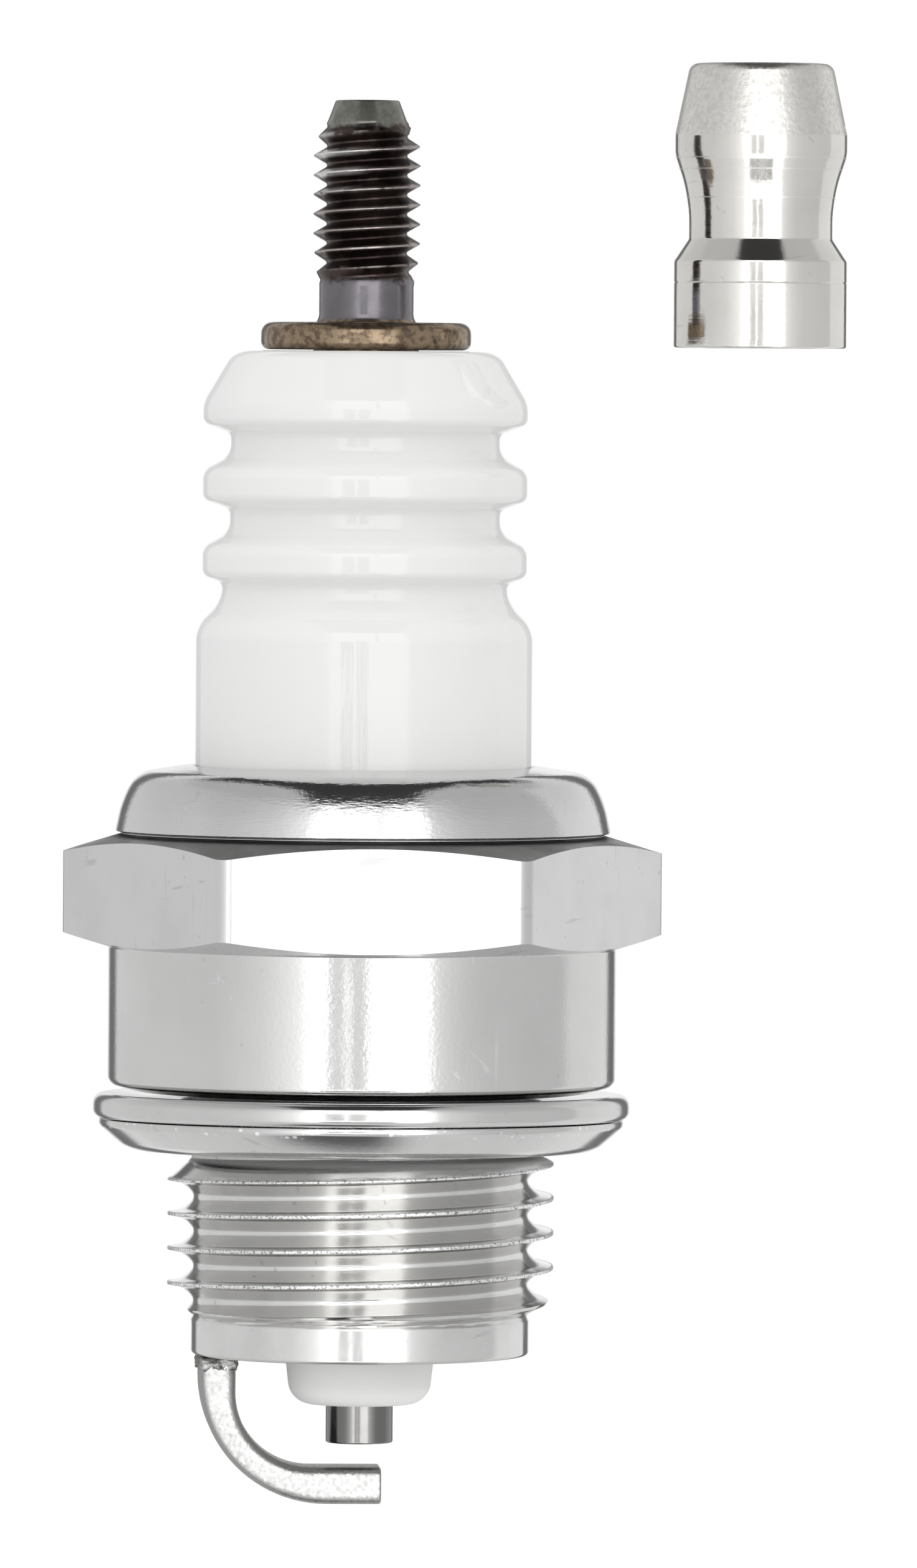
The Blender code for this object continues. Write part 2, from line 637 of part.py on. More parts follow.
def make_conductor():
    """Glass seals, resistor and centre electrode, stacked in the insulator's bore."""
    pocket_radius = stem_tip_radius + FIT_GAP
    pocket_bottom = stem_bottom - STEM_TIP_LENGTH - FIT_GAP
    upper_glass = [
        (0, pocket_bottom),
        (pocket_radius, pocket_bottom),
        (pocket_radius, upper_glass_top),
        (core_radius, upper_glass_top),
        (core_radius, upper_glass_bottom),
        (0, upper_glass_bottom),
    ]
    add_part(turned("upper_glass_seal", upper_glass, CORE_STEPS), "copper_glass")

    resistor = [
        (0, resistor_top),
        (core_radius, resistor_top),
        (core_radius, resistor_bottom),
        (0, resistor_bottom),
    ]
    add_part(turned("resistor", resistor, CORE_STEPS), "carbon_composite")

    copper_radius = CORE_DIAMETER / 2
    stub_radius = copper_radius + FIT_GAP + HEAD_STUB_WALL
    lower_glass = [
        (0, lower_glass_top),
        (core_radius, lower_glass_top),
        (core_radius, lower_glass_bottom),
        (stub_radius + FIT_GAP, lower_glass_bottom),
        (stub_radius + FIT_GAP, stub_top + FIT_GAP),
        (0, stub_top + FIT_GAP),
    ]
    add_part(turned("lower_glass_seal", lower_glass, CORE_STEPS), "copper_glass")

    copper_bottom = electrode_tip + CORE_TIP_COVER
    neck_drop = (core_radius - electrode_radius) * tan(BORE_STEP_ANGLE)
    sheath = [
        (0, copper_bottom - FIT_GAP, 0),
        (copper_radius + FIT_GAP, copper_bottom - FIT_GAP, 0),
        (copper_radius + FIT_GAP, stub_top, 0),
        (stub_radius, stub_top, 0),
        (stub_radius, head_top, 0),
        (core_radius, head_top, 0),
        (core_radius, head_bottom, 0),
        (electrode_radius, head_bottom - neck_drop, 0),
        (electrode_radius, electrode_tip, CENTRE_ELECTRODE_EDGE),
        (0, electrode_tip, 0),
    ]
    add_part(turned("centre_electrode", rounded(sheath, closed=False), CORE_STEPS), "nickel_alloy")

    copper = [(0, stub_top), (copper_radius, stub_top), (copper_radius, copper_bottom), (0, copper_bottom)]
    add_part(turned("electrode_copper_core", copper, CORE_STEPS), "copper")


def make_ground_electrode():
    """A flat bar welded to the shell's rim and bent under the centre electrode."""
    leg_inside = -firing_radius
    leg_outside = leg_inside - GROUND_THICKNESS
    leg_top = -THREAD_REACH - FIT_GAP
    face = electrode_tip - SPARK_GAP
    back = face - GROUND_THICKNESS
    outside_radius = GROUND_BEND_RADIUS + GROUND_THICKNESS + GROUND_BEND_FLATTENING
    outline = rounded([
        (leg_outside, leg_top, 0),
        (leg_outside, back, outside_radius),
        (GROUND_TIP_OVERHANG, back, 0),
        (GROUND_TIP_OVERHANG, face, 0),
        (leg_inside, face, GROUND_BEND_RADIUS),
        (leg_inside, leg_top, 0),
    ])
    curve = bpy.data.curves.new("ground_electrode_outline", "CURVE")
    curve.dimensions = "2D"
    curve.fill_mode = "BOTH"
    curve.extrude = GROUND_WIDTH / 2
    spline = curve.splines.new("POLY")
    spline.points.add(len(outline) - 1)
    for point, (x, z) in zip(spline.points, outline):
        point.co = (x, z, 0, 1)
    spline.use_cyclic_u = True
    guide = bpy.data.objects.new("ground_electrode_outline", curve)
    parts.objects.link(guide)
    bpy.context.view_layer.update()
    graph = bpy.context.evaluated_depsgraph_get()
    bar = bpy.data.meshes.new_from_object(guide.evaluated_get(graph))
    bpy.data.objects.remove(guide)

    mesh = bmesh.new()
    mesh.from_mesh(bar)
    bmesh.ops.remove_doubles(mesh, verts=mesh.verts, dist=MERGE_DISTANCE)
    bmesh.ops.dissolve_limit(mesh, angle_limit=FLAT_ANGLE, verts=mesh.verts, edges=mesh.edges)
    bmesh.ops.rotate(mesh, verts=mesh.verts, matrix=Matrix.Rotation(pi / 2, 3, "X"))
    bmesh.ops.recalc_face_normals(mesh, faces=mesh.faces)
    mesh.to_mesh(bar)
    mesh.free()
    electrode = bpy.data.objects.new("ground_electrode", bar)
    parts.objects.link(electrode)
    edges = electrode.modifiers.new("rounded edges", "BEVEL")
    edges.width = GROUND_EDGE_RADIUS
    edges.segments = GROUND_EDGE_FACETS
    edges.limit_method = "ANGLE"
    edges.angle_limit = SHARP_ANGLE
    keep_mesh(electrode)
    add_part(electrode, "nickel_alloy")


def make_seat_gasket():
    """A sheet ring folded into a hollow roll, open at the seam round its outside, loose on the neck."""
    half = GASKET_SHEET / 2
    top_layer = gasket_top - half
    bottom_layer = gasket_bottom + half
    middle_layer = top_layer - GASKET_SHEET - GASKET_FOLD_GAP
    inner_wall = gasket_bore_radius + half
    outer_wall = gasket_outer_radius - half
    lower_edge = outer_wall - GASKET_SEAM_INSET
    edge_top = middle_layer - half - FIT_GAP
    slope_top = bottom_layer + GASKET_LOWER_RISE * (edge_top - bottom_layer)
    roll_radius = (top_layer - middle_layer) / 2
    inner_radius = GASKET_INNER_RADIUS - half
    path = rounded(
        [
            (lower_edge, edge_top, 0),
            (lower_edge, slope_top, half),
            (gasket_outer_radius - GASKET_FLAT_INSET, bottom_layer, GASKET_SLOPE_RADIUS),
            (inner_wall, bottom_layer, inner_radius),
            (inner_wall, top_layer, inner_radius),
            (outer_wall, top_layer, roll_radius),
            (outer_wall, middle_layer, roll_radius),
            (inner_wall + half + GASKET_TUCK_CLEARANCE, middle_layer, 0),
        ],
        closed=False,
    )
    section = [(radius, height - gasket_top) for radius, height in strip(path, GASKET_SHEET)]
    add_part(turned("seat_gasket", section), "gasket_steel", location=(0, 0, gasket_top))


def make_terminal_nut():
    """A waisted nut with a plain bore just wider than the stud's thread, upright beside the plug."""
    foot = NUT_FOOT_DIAMETER / 2
    band = NUT_BAND_DIAMETER / 2
    bore = STUD_THREAD_DIAMETER / 2 + FIT_GAP
    waist = bore + NUT_WAIST_WALL
    top_radius = bore + NUT_BORE_CHAMFER + NUT_TOP_WALL
    taper_top = NUT_FOOT_LENGTH + NUT_TAPER_LENGTH
    waist_top = taper_top + NUT_WAIST_LENGTH
    flare_top = waist_top + NUT_FLARE_LENGTH
    band_top = flare_top + NUT_BAND_LENGTH
    top = band_top + NUT_CONE_LENGTH
    section = rounded([
        (top_radius, top, NUT_TOP_RADIUS),
        (band, band_top, 0),
        (band, flare_top, NUT_EDGE_RADIUS),
        (waist, waist_top, NUT_FLARE_RADIUS),
        (waist, taper_top, NUT_EDGE_RADIUS),
        (foot, NUT_FOOT_LENGTH, 0),
        (foot, 0, NUT_EDGE_RADIUS),
        (bore + NUT_BORE_CHAMFER, 0, 0),
        (bore, NUT_BORE_CHAMFER, 0),
        (bore, top - NUT_BORE_CHAMFER, 0),
        (bore + NUT_BORE_CHAMFER, top, 0),
    ])
    foot_place = (NUT_AXIS_OFFSET, 0, insulator_top + NUT_FOOT_HEIGHT)
    add_part(turned("terminal_nut", section), "silver_plated_steel", location=foot_place)


for leftover in list(bpy.data.objects):
    bpy.data.objects.remove(leftover)

parts = bpy.data.collections.new("spark_plug")
cutters = bpy.data.collections.new("cutters")
for collection in (parts, cutters):
    bpy.context.scene.collection.children.link(collection)
plug = bpy.data.objects.new("plug_axis", None)
parts.objects.link(plug)

make_shell()
make_insulator()
make_packing()
make_terminal_stud()
make_conductor()
make_ground_electrode()
make_seat_gasket()
make_terminal_nut()
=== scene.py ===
from math import atan2, cos, hypot, pi, radians, sin, tan

import bmesh
import bpy
from mathutils import Matrix, Quaternion, Vector, noise


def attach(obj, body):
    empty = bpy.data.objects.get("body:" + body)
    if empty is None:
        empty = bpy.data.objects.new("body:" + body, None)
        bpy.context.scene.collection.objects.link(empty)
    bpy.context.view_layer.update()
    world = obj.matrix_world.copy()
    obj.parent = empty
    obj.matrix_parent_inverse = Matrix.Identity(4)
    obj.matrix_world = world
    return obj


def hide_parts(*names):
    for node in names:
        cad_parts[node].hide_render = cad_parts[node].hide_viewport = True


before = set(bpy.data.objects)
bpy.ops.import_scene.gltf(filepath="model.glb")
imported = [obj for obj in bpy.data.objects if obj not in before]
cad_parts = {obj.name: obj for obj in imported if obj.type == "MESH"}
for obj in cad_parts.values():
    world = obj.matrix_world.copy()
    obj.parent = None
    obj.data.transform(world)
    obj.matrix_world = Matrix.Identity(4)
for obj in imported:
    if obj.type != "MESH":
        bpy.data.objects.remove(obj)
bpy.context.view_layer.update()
bpy.context.scene.view_settings.view_transform = "Standard"


# shapes are drawn in millimetres and made metres at the end

def drawProfile(bm, corners, closed=False, segments=8):
    # each corner is radius, height and how far its rounding reaches
    verts = [bm.verts.new((radius, 0, height)) for radius, height, _ in corners]
    ends = verts[1:] + verts[:1] if closed else verts[1:]
    for pair in zip(verts, ends):
        bm.edges.new(pair)
    rounds = {}
    for vert, corner in zip(verts, corners):
        if corner[2] > 0:
            rounds.setdefault(corner[2], []).append(vert)
    for reach, group in rounds.items():
        bmesh.ops.bevel(bm, geom=group, offset=reach, offset_type="OFFSET", segments=segments,
                        profile=0.5, affect="VERTICES", material=-1)


def turnProfile(bm, steps):
    bmesh.ops.spin(bm, geom=bm.verts[:] + bm.edges[:], cent=(0, 0, 0), axis=(0, 0, 1), dvec=(0, 0, 0),
                   angle=2 * pi, steps=steps, use_merge=True)
    bmesh.ops.remove_doubles(bm, verts=bm.verts, dist=0.0005)


def between(keys, height):
    # keys start with a height, and their other values are read along straight lines
    if height <= keys[0][0]:
        return keys[0][1:]
    for low, high in zip(keys, keys[1:]):
        if height <= high[0]:
            share = (height - low[0]) / (high[0] - low[0])
            return [a + (b - a) * share for a, b in zip(low[1:], high[1:])]
    return keys[-1][1:]


def runOut(last, pitch, spot, wanted, cap):
    # the last crest dies away, and a plain flank leads from it to the neck
    end, least = radians(last["end"]), last["least"]
    turned = (atan2(spot.y, spot.x) - end) % (2 * pi) + end
    above = spot.z - last["crest"] - pitch * (turned / (2 * pi) - 1)
    faded = max(0, turned / end - 2 * pi / end)
    grown = min(1, turned / end - 1)
    if above > -pitch / 2 and faded:
        wanted = min(wanted, cap - (cap - least) * faded)
    if above > 0:
        flank = last["top"] - (last["top"] - least) * faded - above * last["slope"]
        groove = wanted if above < pitch / 2 else min(wanted, least)
        wanted = groove + (max(min(flank, cap), least) - groove) * grown
    return wanted


def rollThread(thread):
    # one turn of the profile, repeated a pitch apart, held under its caps and cut off square
    bm = bmesh.new()
    pitch, steps, root = thread["pitch"], thread["steps"], thread["root"]
    low, high = thread["cuts"]
    first = thread["crestAtX"] - pitch * (int((thread["crestAtX"] - low) / pitch) + 2)
    drawProfile(bm, [(radius, first + rise, reach) for radius, rise, reach in thread["profile"]], segments=5)
    bmesh.ops.spin(bm, geom=bm.verts[:] + bm.edges[:], cent=(0, 0, 0), axis=(0, 0, 1),
                   dvec=(0, 0, pitch / steps), angle=2 * pi, steps=steps)
    turn = bm.verts[:] + bm.edges[:] + bm.faces[:]
    for count in range(1, int((high - first) / pitch) + 2):
        copied = bmesh.ops.duplicate(bm, geom=turn)["geom"]
        verts = [part for part in copied if isinstance(part, bmesh.types.BMVert)]
        bmesh.ops.translate(bm, verts=verts, vec=(0, 0, pitch * count))
    bmesh.ops.remove_doubles(bm, verts=bm.verts, dist=0.0008)
    for vert in bm.verts:
        radius = hypot(vert.co.x, vert.co.y)
        base, depth, cap = between(thread["ends"], vert.co.z)
        wanted = min(base + (radius - root) * depth, cap)
        if "runout" in thread:
            wanted = runOut(thread["runout"], pitch, vert.co, wanted, cap)
        if "nicks" in thread and radius > root + thread["nickFrom"]:
            wanted -= thread["nicks"] * max(0, noise.noise(vert.co * thread["nickScale"]) - 0.05)
        vert.co.x *= wanted / radius
        vert.co.y *= wanted / radius
    for height, up in ((high, 1), (low, -1)):
        bmesh.ops.bisect_plane(bm, geom=bm.verts[:] + bm.edges[:] + bm.faces[:], dist=0.0001,
                               plane_co=(0, 0, height), plane_no=(0, 0, up), clear_outer=True)
    bmesh.ops.remove_doubles(bm, verts=bm.verts, dist=0.0002)
    return bm


def joinThread(bm, thread, reach=0.15):
    # sets the rolled thread between two open rings and closes the joints
    rolled = rollThread(thread)
    mesh = bpy.data.meshes.new("joined")
    rolled.to_mesh(mesh)
    rolled.free()
    bm.from_mesh(mesh)
    bpy.data.meshes.remove(mesh)
    for height in thread["cuts"]:
        rim = [edge for edge in bm.edges if edge.is_boundary
               and all(abs(vert.co.z - height) < reach for vert in edge.verts)]
        bmesh.ops.bridge_loops(bm, edges=rim)


def finishPiece(bm, name, body, nodes, finishes, sharp=30, flatArea=None):
    bmesh.ops.remove_doubles(bm, verts=bm.verts, dist=0.0005)
    bmesh.ops.recalc_face_normals(bm, faces=bm.faces)
    for face in bm.faces:
        face.smooth = True
    for edge in bm.edges:
        edge.smooth = edge.calc_face_angle(0) < radians(sharp)
    if flatArea:  # large flats keep their own edges
        for face in bm.faces:
            if face.calc_area() > flatArea:
                for edge in face.edges:
                    edge.smooth = False
    bmesh.ops.scale(bm, vec=(0.001, 0.001, 0.001), verts=bm.verts)
    mesh = bpy.data.meshes.new(name)
    bm.to_mesh(mesh)
    bm.free()
    for finish in finishes:
        mesh.materials.append(finish)
    piece = bpy.data.objects.new(name, mesh)
    bpy.context.scene.collection.objects.link(piece)
    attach(piece, body)
    if nodes:
        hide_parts(*nodes)
    print(name, "faces:", len(mesh.polygons))


# materials are built from nodes on object coordinates, in metres

def addNode(tree, kind, feeds=None, **settings):
    made = tree.nodes.new("ShaderNode" + kind)
    for name, value in settings.items():
        setattr(made, name, value)
    for name, value in (feeds or {}).items():
        if isinstance(value, bpy.types.NodeSocket):
            tree.links.new(value, made.inputs[name])
        else:
            made.inputs[name].default_value = value
    return made


def calc(tree, operation, a, b=0.0):
    return addNode(tree, "Math", {0: a, 1: b}, operation=operation).outputs[0]


def times(tree, a, b):
    return calc(tree, "MULTIPLY", a, b)


def plus(tree, a, b):
    return calc(tree, "ADD", a, b)


def fade(tree, value, start, end, low=0.0, high=1.0):
    feeds = {"Value": value, "From Min": start, "From Max": end, "To Min": low, "To Max": high}
    return addNode(tree, "MapRange", feeds, interpolation_type="SMOOTHSTEP").outputs[0]


def band(tree, value, low, high, soft):
    rise = fade(tree, value, low - soft, low + soft)
    fall = fade(tree, value, high - soft, high + soft, 1.0, 0.0)
    return times(tree, rise, fall)


def blendValue(tree, share, a, b):
    return addNode(tree, "Mix", {0: share, 2: a, 3: b}).outputs[0]


def blendColour(tree, share, a, b):
    # a colour is three plain values or another node's output
    a, b = [(*end, 1) if isinstance(end, tuple) else end for end in (a, b)]
    return addNode(tree, "Mix", {0: share, 6: a, 7: b}, data_type="RGBA").outputs[2]


def grain(tree, where, scale, detail=3.0, rough=0.55, stretch=None):
    if stretch:
        where = addNode(tree, "Mapping", {"Vector": where, "Scale": stretch}).outputs[0]
    feeds = {"Vector": where, "Scale": scale, "Detail": detail, "Roughness": rough}
    return addNode(tree, "TexNoise", feeds).outputs[0]


def flecks(tree, where, scale, size, share):
    # small round marks in a share of the cells
    cells = addNode(tree, "TexVoronoi", {"Vector": where, "Scale": scale, "Randomness": 1.0})
    pick = addNode(tree, "SeparateColor", {0: cells.outputs["Color"]}).outputs[0]
    dots = fade(tree, cells.outputs["Distance"], size * 0.5, size, 1.0, 0.0)
    return times(tree, dots, calc(tree, "LESS_THAN", pick, share))


def startFinish(name):
    finish = bpy.data.materials.new(name)
    finish.use_nodes = True
    tree = finish.node_tree
    shader = tree.nodes["Principled BSDF"]
    where = addNode(tree, "TexCoord").outputs["Object"]
    return finish, tree, shader, where


def setFinish(tree, shader, colour, gloss, metallic, bump, depth, relief):
    raised = addNode(tree, "Bump", {"Strength": bump, "Distance": depth, "Height": relief}).outputs[0]
    for name, value in (("Base Color", colour), ("Roughness", gloss), ("Normal", raised)):
        tree.links.new(value, shader.inputs[name])
    shader.inputs["Metallic"].default_value = metallic


def roundAxis(tree, where):
    # distance from the plug's axis, and height
    x, y, z = addNode(tree, "SeparateXYZ", {0: where}).outputs
    squares = plus(tree, times(tree, x, x), times(tree, y, y))
    return calc(tree, "SQRT", squares), z


def scratches(tree, where, scale, amount):
    # fine short marks, upright, level and slanted, in some patches only
    marks = None
    for slant, stretch in ((0.0, (1.0, 1.0, 0.05)), (0.2, (0.1, 0.1, 1.0)), (0.9, (1.0, 1.0, 0.04))):
        tilted = addNode(tree, "VectorRotate", {"Vector": where, "Angle": slant}, rotation_type="Y_AXIS")
        lines = fade(tree, grain(tree, tilted.outputs[0], scale, 2.0, 0.5, stretch), 0.67, 0.72)
        marks = lines if marks is None else calc(tree, "MAXIMUM", marks, lines)
    patches = fade(tree, grain(tree, where, scale * 0.12, 2.0), 0.5, 0.62)
    return times(tree, times(tree, marks, patches), amount)


# what all metals share: scale, size and share of flecks, then colours, and what marks add to the roughness
metalSet = {
    "dots": (1500, 0.16, 0.12), "dotColour": (0.12, 0.11, 0.1), "markDull": 0.25, "markDepth": 0.5,
    "ringLength": 0.02, "underFacing": (-0.1, -0.7), "rimColour": (0.05, 0.05, 0.05), "depth": 0.00001,
    "speckleScale": 11000, "speckleColours": ((0.3, 0.3, 0.3), (0.86, 0.86, 0.86)), "crestDull": 0.2,
    "lineWidth": 0.00003, "lineDull": 0.3,
    "beads": (3600, 0.4, 0.5), "glintColour": (0.95, 0.95, 0.95), "glintDull": 0.3,
}


def dressMetal(name, look):
    # plated or bare metal with turning lines, pits, scratches, flecks and uneven gloss, and where a look asks
    # for it, painted shade and painted glints
    m = metalSet
    finish, tree, shader, where = startFinish(name)
    radius, height = roundAxis(tree, where)
    facing = addNode(tree, "SeparateXYZ", {0: addNode(tree, "TexCoord").outputs["Normal"]}).outputs
    cloud = grain(tree, where, look["cloudScale"], 4.0)
    fine = grain(tree, where, look["fineScale"], 3.0)
    length = look.get("ringLength", m["ringLength"])
    rings = grain(tree, where, look["ringScale"], 2.0, 0.5, (length, length, 1.0))
    marks = scratches(tree, where, look["scratchScale"], look["scratches"])
    dots = times(tree, flecks(tree, where, *m["dots"]), look["flecks"])
    colour = blendColour(tree, fade(tree, cloud, 0.35, 0.7), look["colour"], look["stain"])
    colour = blendColour(tree, marks, colour, look["scratchColour"])
    colour = blendColour(tree, dots, colour, m["dotColour"])
    gloss = fade(tree, cloud, 0.3, 0.75, look["roughness"] * 0.8, look["roughness"] * 1.25)
    gloss = plus(tree, gloss, times(tree, marks, m["markDull"]))
    if "under" in look:  # painted shade: darker undersides
        colour = blendColour(tree, fade(tree, facing[2], *m["underFacing"]), colour, look["under"])
    if "flank" in look:  # painted shade: darker at both sides, or on the rounded edges, by which way the surface faces
        axis, start, end, dull = look["flank"]
        beside = fade(tree, calc(tree, "ABSOLUTE", facing[axis]), start, end)
        colour = blendColour(tree, beside, colour, dull)
    if "crest" in look:  # rubbed crests, speckled light and dark
        crest = fade(tree, radius, *look["crest"])
        speckle = fade(tree, grain(tree, where, m["speckleScale"], 2.0), 0.36, 0.5)
        colour = blendColour(tree, crest, colour, blendColour(tree, speckle, *m["speckleColours"]))
        gloss = plus(tree, gloss, times(tree, crest, m["crestDull"]))
    if "dull" in look:  # duller above a height
        start, end, rise = look["dull"]
        gloss = plus(tree, gloss, fade(tree, height, start, end, 0.0, rise))
    if "rim" in look:  # painted shade: darker towards the axis, in the corner under the lip
        colour = blendColour(tree, fade(tree, radius, *look["rim"]), m["rimColour"], colour)
    for line in look.get("lines", []):  # fine turned lines
        turned = band(tree, height, line, line + m["lineWidth"], m["lineWidth"])
        gloss = plus(tree, gloss, times(tree, turned, m["lineDull"]))
    if "seam" in look:  # painted glints: bright specks along a folded edge, for light caught on it
        along = band(tree, height, *look["seam"], m["lineWidth"])
        beads = times(tree, flecks(tree, where, *m["beads"]), along)
        colour = blendColour(tree, beads, colour, m["glintColour"])
        gloss = plus(tree, gloss, times(tree, beads, m["glintDull"]))
    relief = plus(tree, times(tree, rings, look["rings"]), times(tree, fine, look["grain"]))
    relief = calc(tree, "SUBTRACT", relief, times(tree, plus(tree, marks, dots), m["markDepth"]))
    setFinish(tree, shader, colour, gloss, 1.0, look["bump"], m["depth"], relief)
    return finish


# shell: threaded, with a collar, a hexagon and a crimped lip

shellSet = {
    "steps": 192,
    "neck": 6.1, "neckRound": 0.12, "seat": 8.2, "seatRound": 0.1,
    "collar": 9.15, "collarFoot": 0.25, "collarTop": 5.17, "collarCorner": 0.25,
    "flat": 9.45, "cornerRound": 0.8, "hexTop": 9.23, "chamfer": 17, "undercut": 8.72, "lipFoot": 9.34,
    "lip": [(8.93, 9.34, 0.05), (8.70, 10.45, 0.5), (8.17, 11.43, 0.5), (6.35, 11.72, 0.12),
            (6.115, 11.6, 0)],
    "lipUnderside": 11.09, "chamber": 7.055, "step": 2.6, "lowerBore": 4.65, "stepFoot": 0.582,
    "ledge": 3.75, "ledgeTop": -3.4, "ledgeFoot": -3.92, "ledgeEnd": -5.22,
    "firingBore": 4.5, "firingTop": -5.97, "rim": -9.5, "rimRound": 0.08, "pilot": 6.09, "pilotRound": 0.14,
    "metal": {
        "colour": (0.68, 0.68, 0.675), "stain": (0.64, 0.64, 0.635), "scratchColour": (0.86, 0.86, 0.86),
        "roughness": 0.12, "cloudScale": 220, "fineScale": 6800, "ringScale": 4200, "scratchScale": 2600,
        "scratches": 0.35, "flecks": 0.1, "rings": 0.2, "grain": 0.9, "bump": 0.55,
    },
    "lipMetal": {
        "colour": (0.68, 0.68, 0.68), "stain": (0.63, 0.63, 0.635), "scratchColour": (0.42, 0.42, 0.42),
        "roughness": 0.12, "cloudScale": 260, "fineScale": 9000, "ringScale": 15000, "ringLength": 0.2,
        "scratchScale": 2600, "scratches": 0.2, "flecks": 0.1, "rings": 1.3, "grain": 0.5, "bump": 0.6,
    },
    "chamferMetal": {
        "colour": (0.42, 0.42, 0.415), "stain": (0.32, 0.32, 0.315), "scratchColour": (0.25, 0.25, 0.25),
        "roughness": 0.42, "cloudScale": 500, "fineScale": 5200, "ringScale": 7000, "scratchScale": 3400,
        # painted shade: the chamfer darkens towards the axis, in the corner under the lip
        "scratches": 0.3, "flecks": 0.2, "rings": 0.6, "grain": 0.6, "bump": 0.4, "rim": (0.0089, 0.00925),
    },
    "satin": {
        "colour": (0.67, 0.67, 0.67), "stain": (0.63, 0.63, 0.635), "scratchColour": (0.40, 0.40, 0.40),
        "roughness": 0.26, "cloudScale": 300, "fineScale": 4600, "ringScale": 2400, "scratchScale": 3400,
        "scratches": 0.4, "flecks": 0.2, "rings": 0.08, "grain": 0.5, "bump": 0.25,
    },
    "threadMetal": {
        "colour": (0.73, 0.73, 0.725), "stain": (0.68, 0.68, 0.675), "scratchColour": (0.40, 0.40, 0.40),
        "roughness": 0.14, "cloudScale": 700, "fineScale": 4200, "ringScale": 5200, "scratchScale": 3000,
        "scratches": 0.3, "flecks": 0.2, "rings": 0.6, "grain": 0.4, "bump": 0.3,
        # the colour for surfaces facing down is painted shade
        "crest": (0.00684, 0.00692), "under": (0.54, 0.535, 0.52), "dull": (-0.0026, -0.0024, 0.5),
    },
}
shellThread = {
    "pitch": 1.25, "root": 6.05, "crestAtX": -2.575, "steps": 144, "cuts": (-8.62, -1.62), "joint": 0.12,
    "profile": [(6.96, 0, 0), (6.96, 0.055, 0.015), (6.46, 0.155, 0.1), (6.18, 0.36, 0.14),
                (6.04, 0.55, 0.07), (6.04, 0.7, 0.07), (6.18, 0.89, 0.14), (6.46, 1.095, 0.1),
                (6.96, 1.195, 0.015), (6.96, 1.25, 0)],
    "nicks": 0.06, "nickScale": 3.4, "nickFrom": 0.8,
    # height, root, share of the depth and widest radius
    "ends": [(-8.9, 6.09, 0, 6.09), (-8.26, 6.09, 0, 6.09), (-8.12, 6.03, 0, 6.04), (-8.02, 6.03, 0.3, 6.15),
             (-7.88, 6.05, 1, 6.6), (-7.2, 6.05, 1, 6.96), (-7.1, 6.05, 1, 7.2), (-2.65, 6.05, 1, 7.2),
             (-2.5, 6.05, 1, 6.9), (-2.2, 6.08, 1, 6.12), (-1.6, 6.1, 0, 6.1)],
    # above its last crest the thread is left as a plain slope
    "runout": {"crest": -2.540, "top": 6.92, "slope": 1.15, "least": 6.1, "end": 60},
}


def cutHexagon(bm, s):
    # six flats, with five narrow cuts round each corner
    cuts = [(side * 60, s["flat"]) for side in range(6)]
    cornerMiddle = (s["flat"] - s["cornerRound"]) / cos(pi / 6)
    for side in range(6):
        for lean in (0, -12, 12, -24, 24):
            cuts.append((side * 60 + 30 + lean, cornerMiddle * cos(radians(lean)) + s["cornerRound"]))
    for angle, distance in cuts:
        facing = Vector((sin(radians(angle)), -cos(radians(angle)), 0))
        faces = [f for f in bm.faces if all(s["collarTop"] - 0.1 < v.co.z < s["lipFoot"] for v in f.verts)]
        edges = {edge for face in faces for edge in face.edges}
        verts = {vert for face in faces for vert in face.verts}
        cut = bmesh.ops.bisect_plane(bm, geom=list(verts) + list(edges) + faces, dist=0.0001,
                                     plane_co=facing * distance, plane_no=facing, clear_outer=True)
        rim = [part for part in cut["geom_cut"] if isinstance(part, bmesh.types.BMEdge)]
        bmesh.ops.contextual_create(bm, geom=rim)


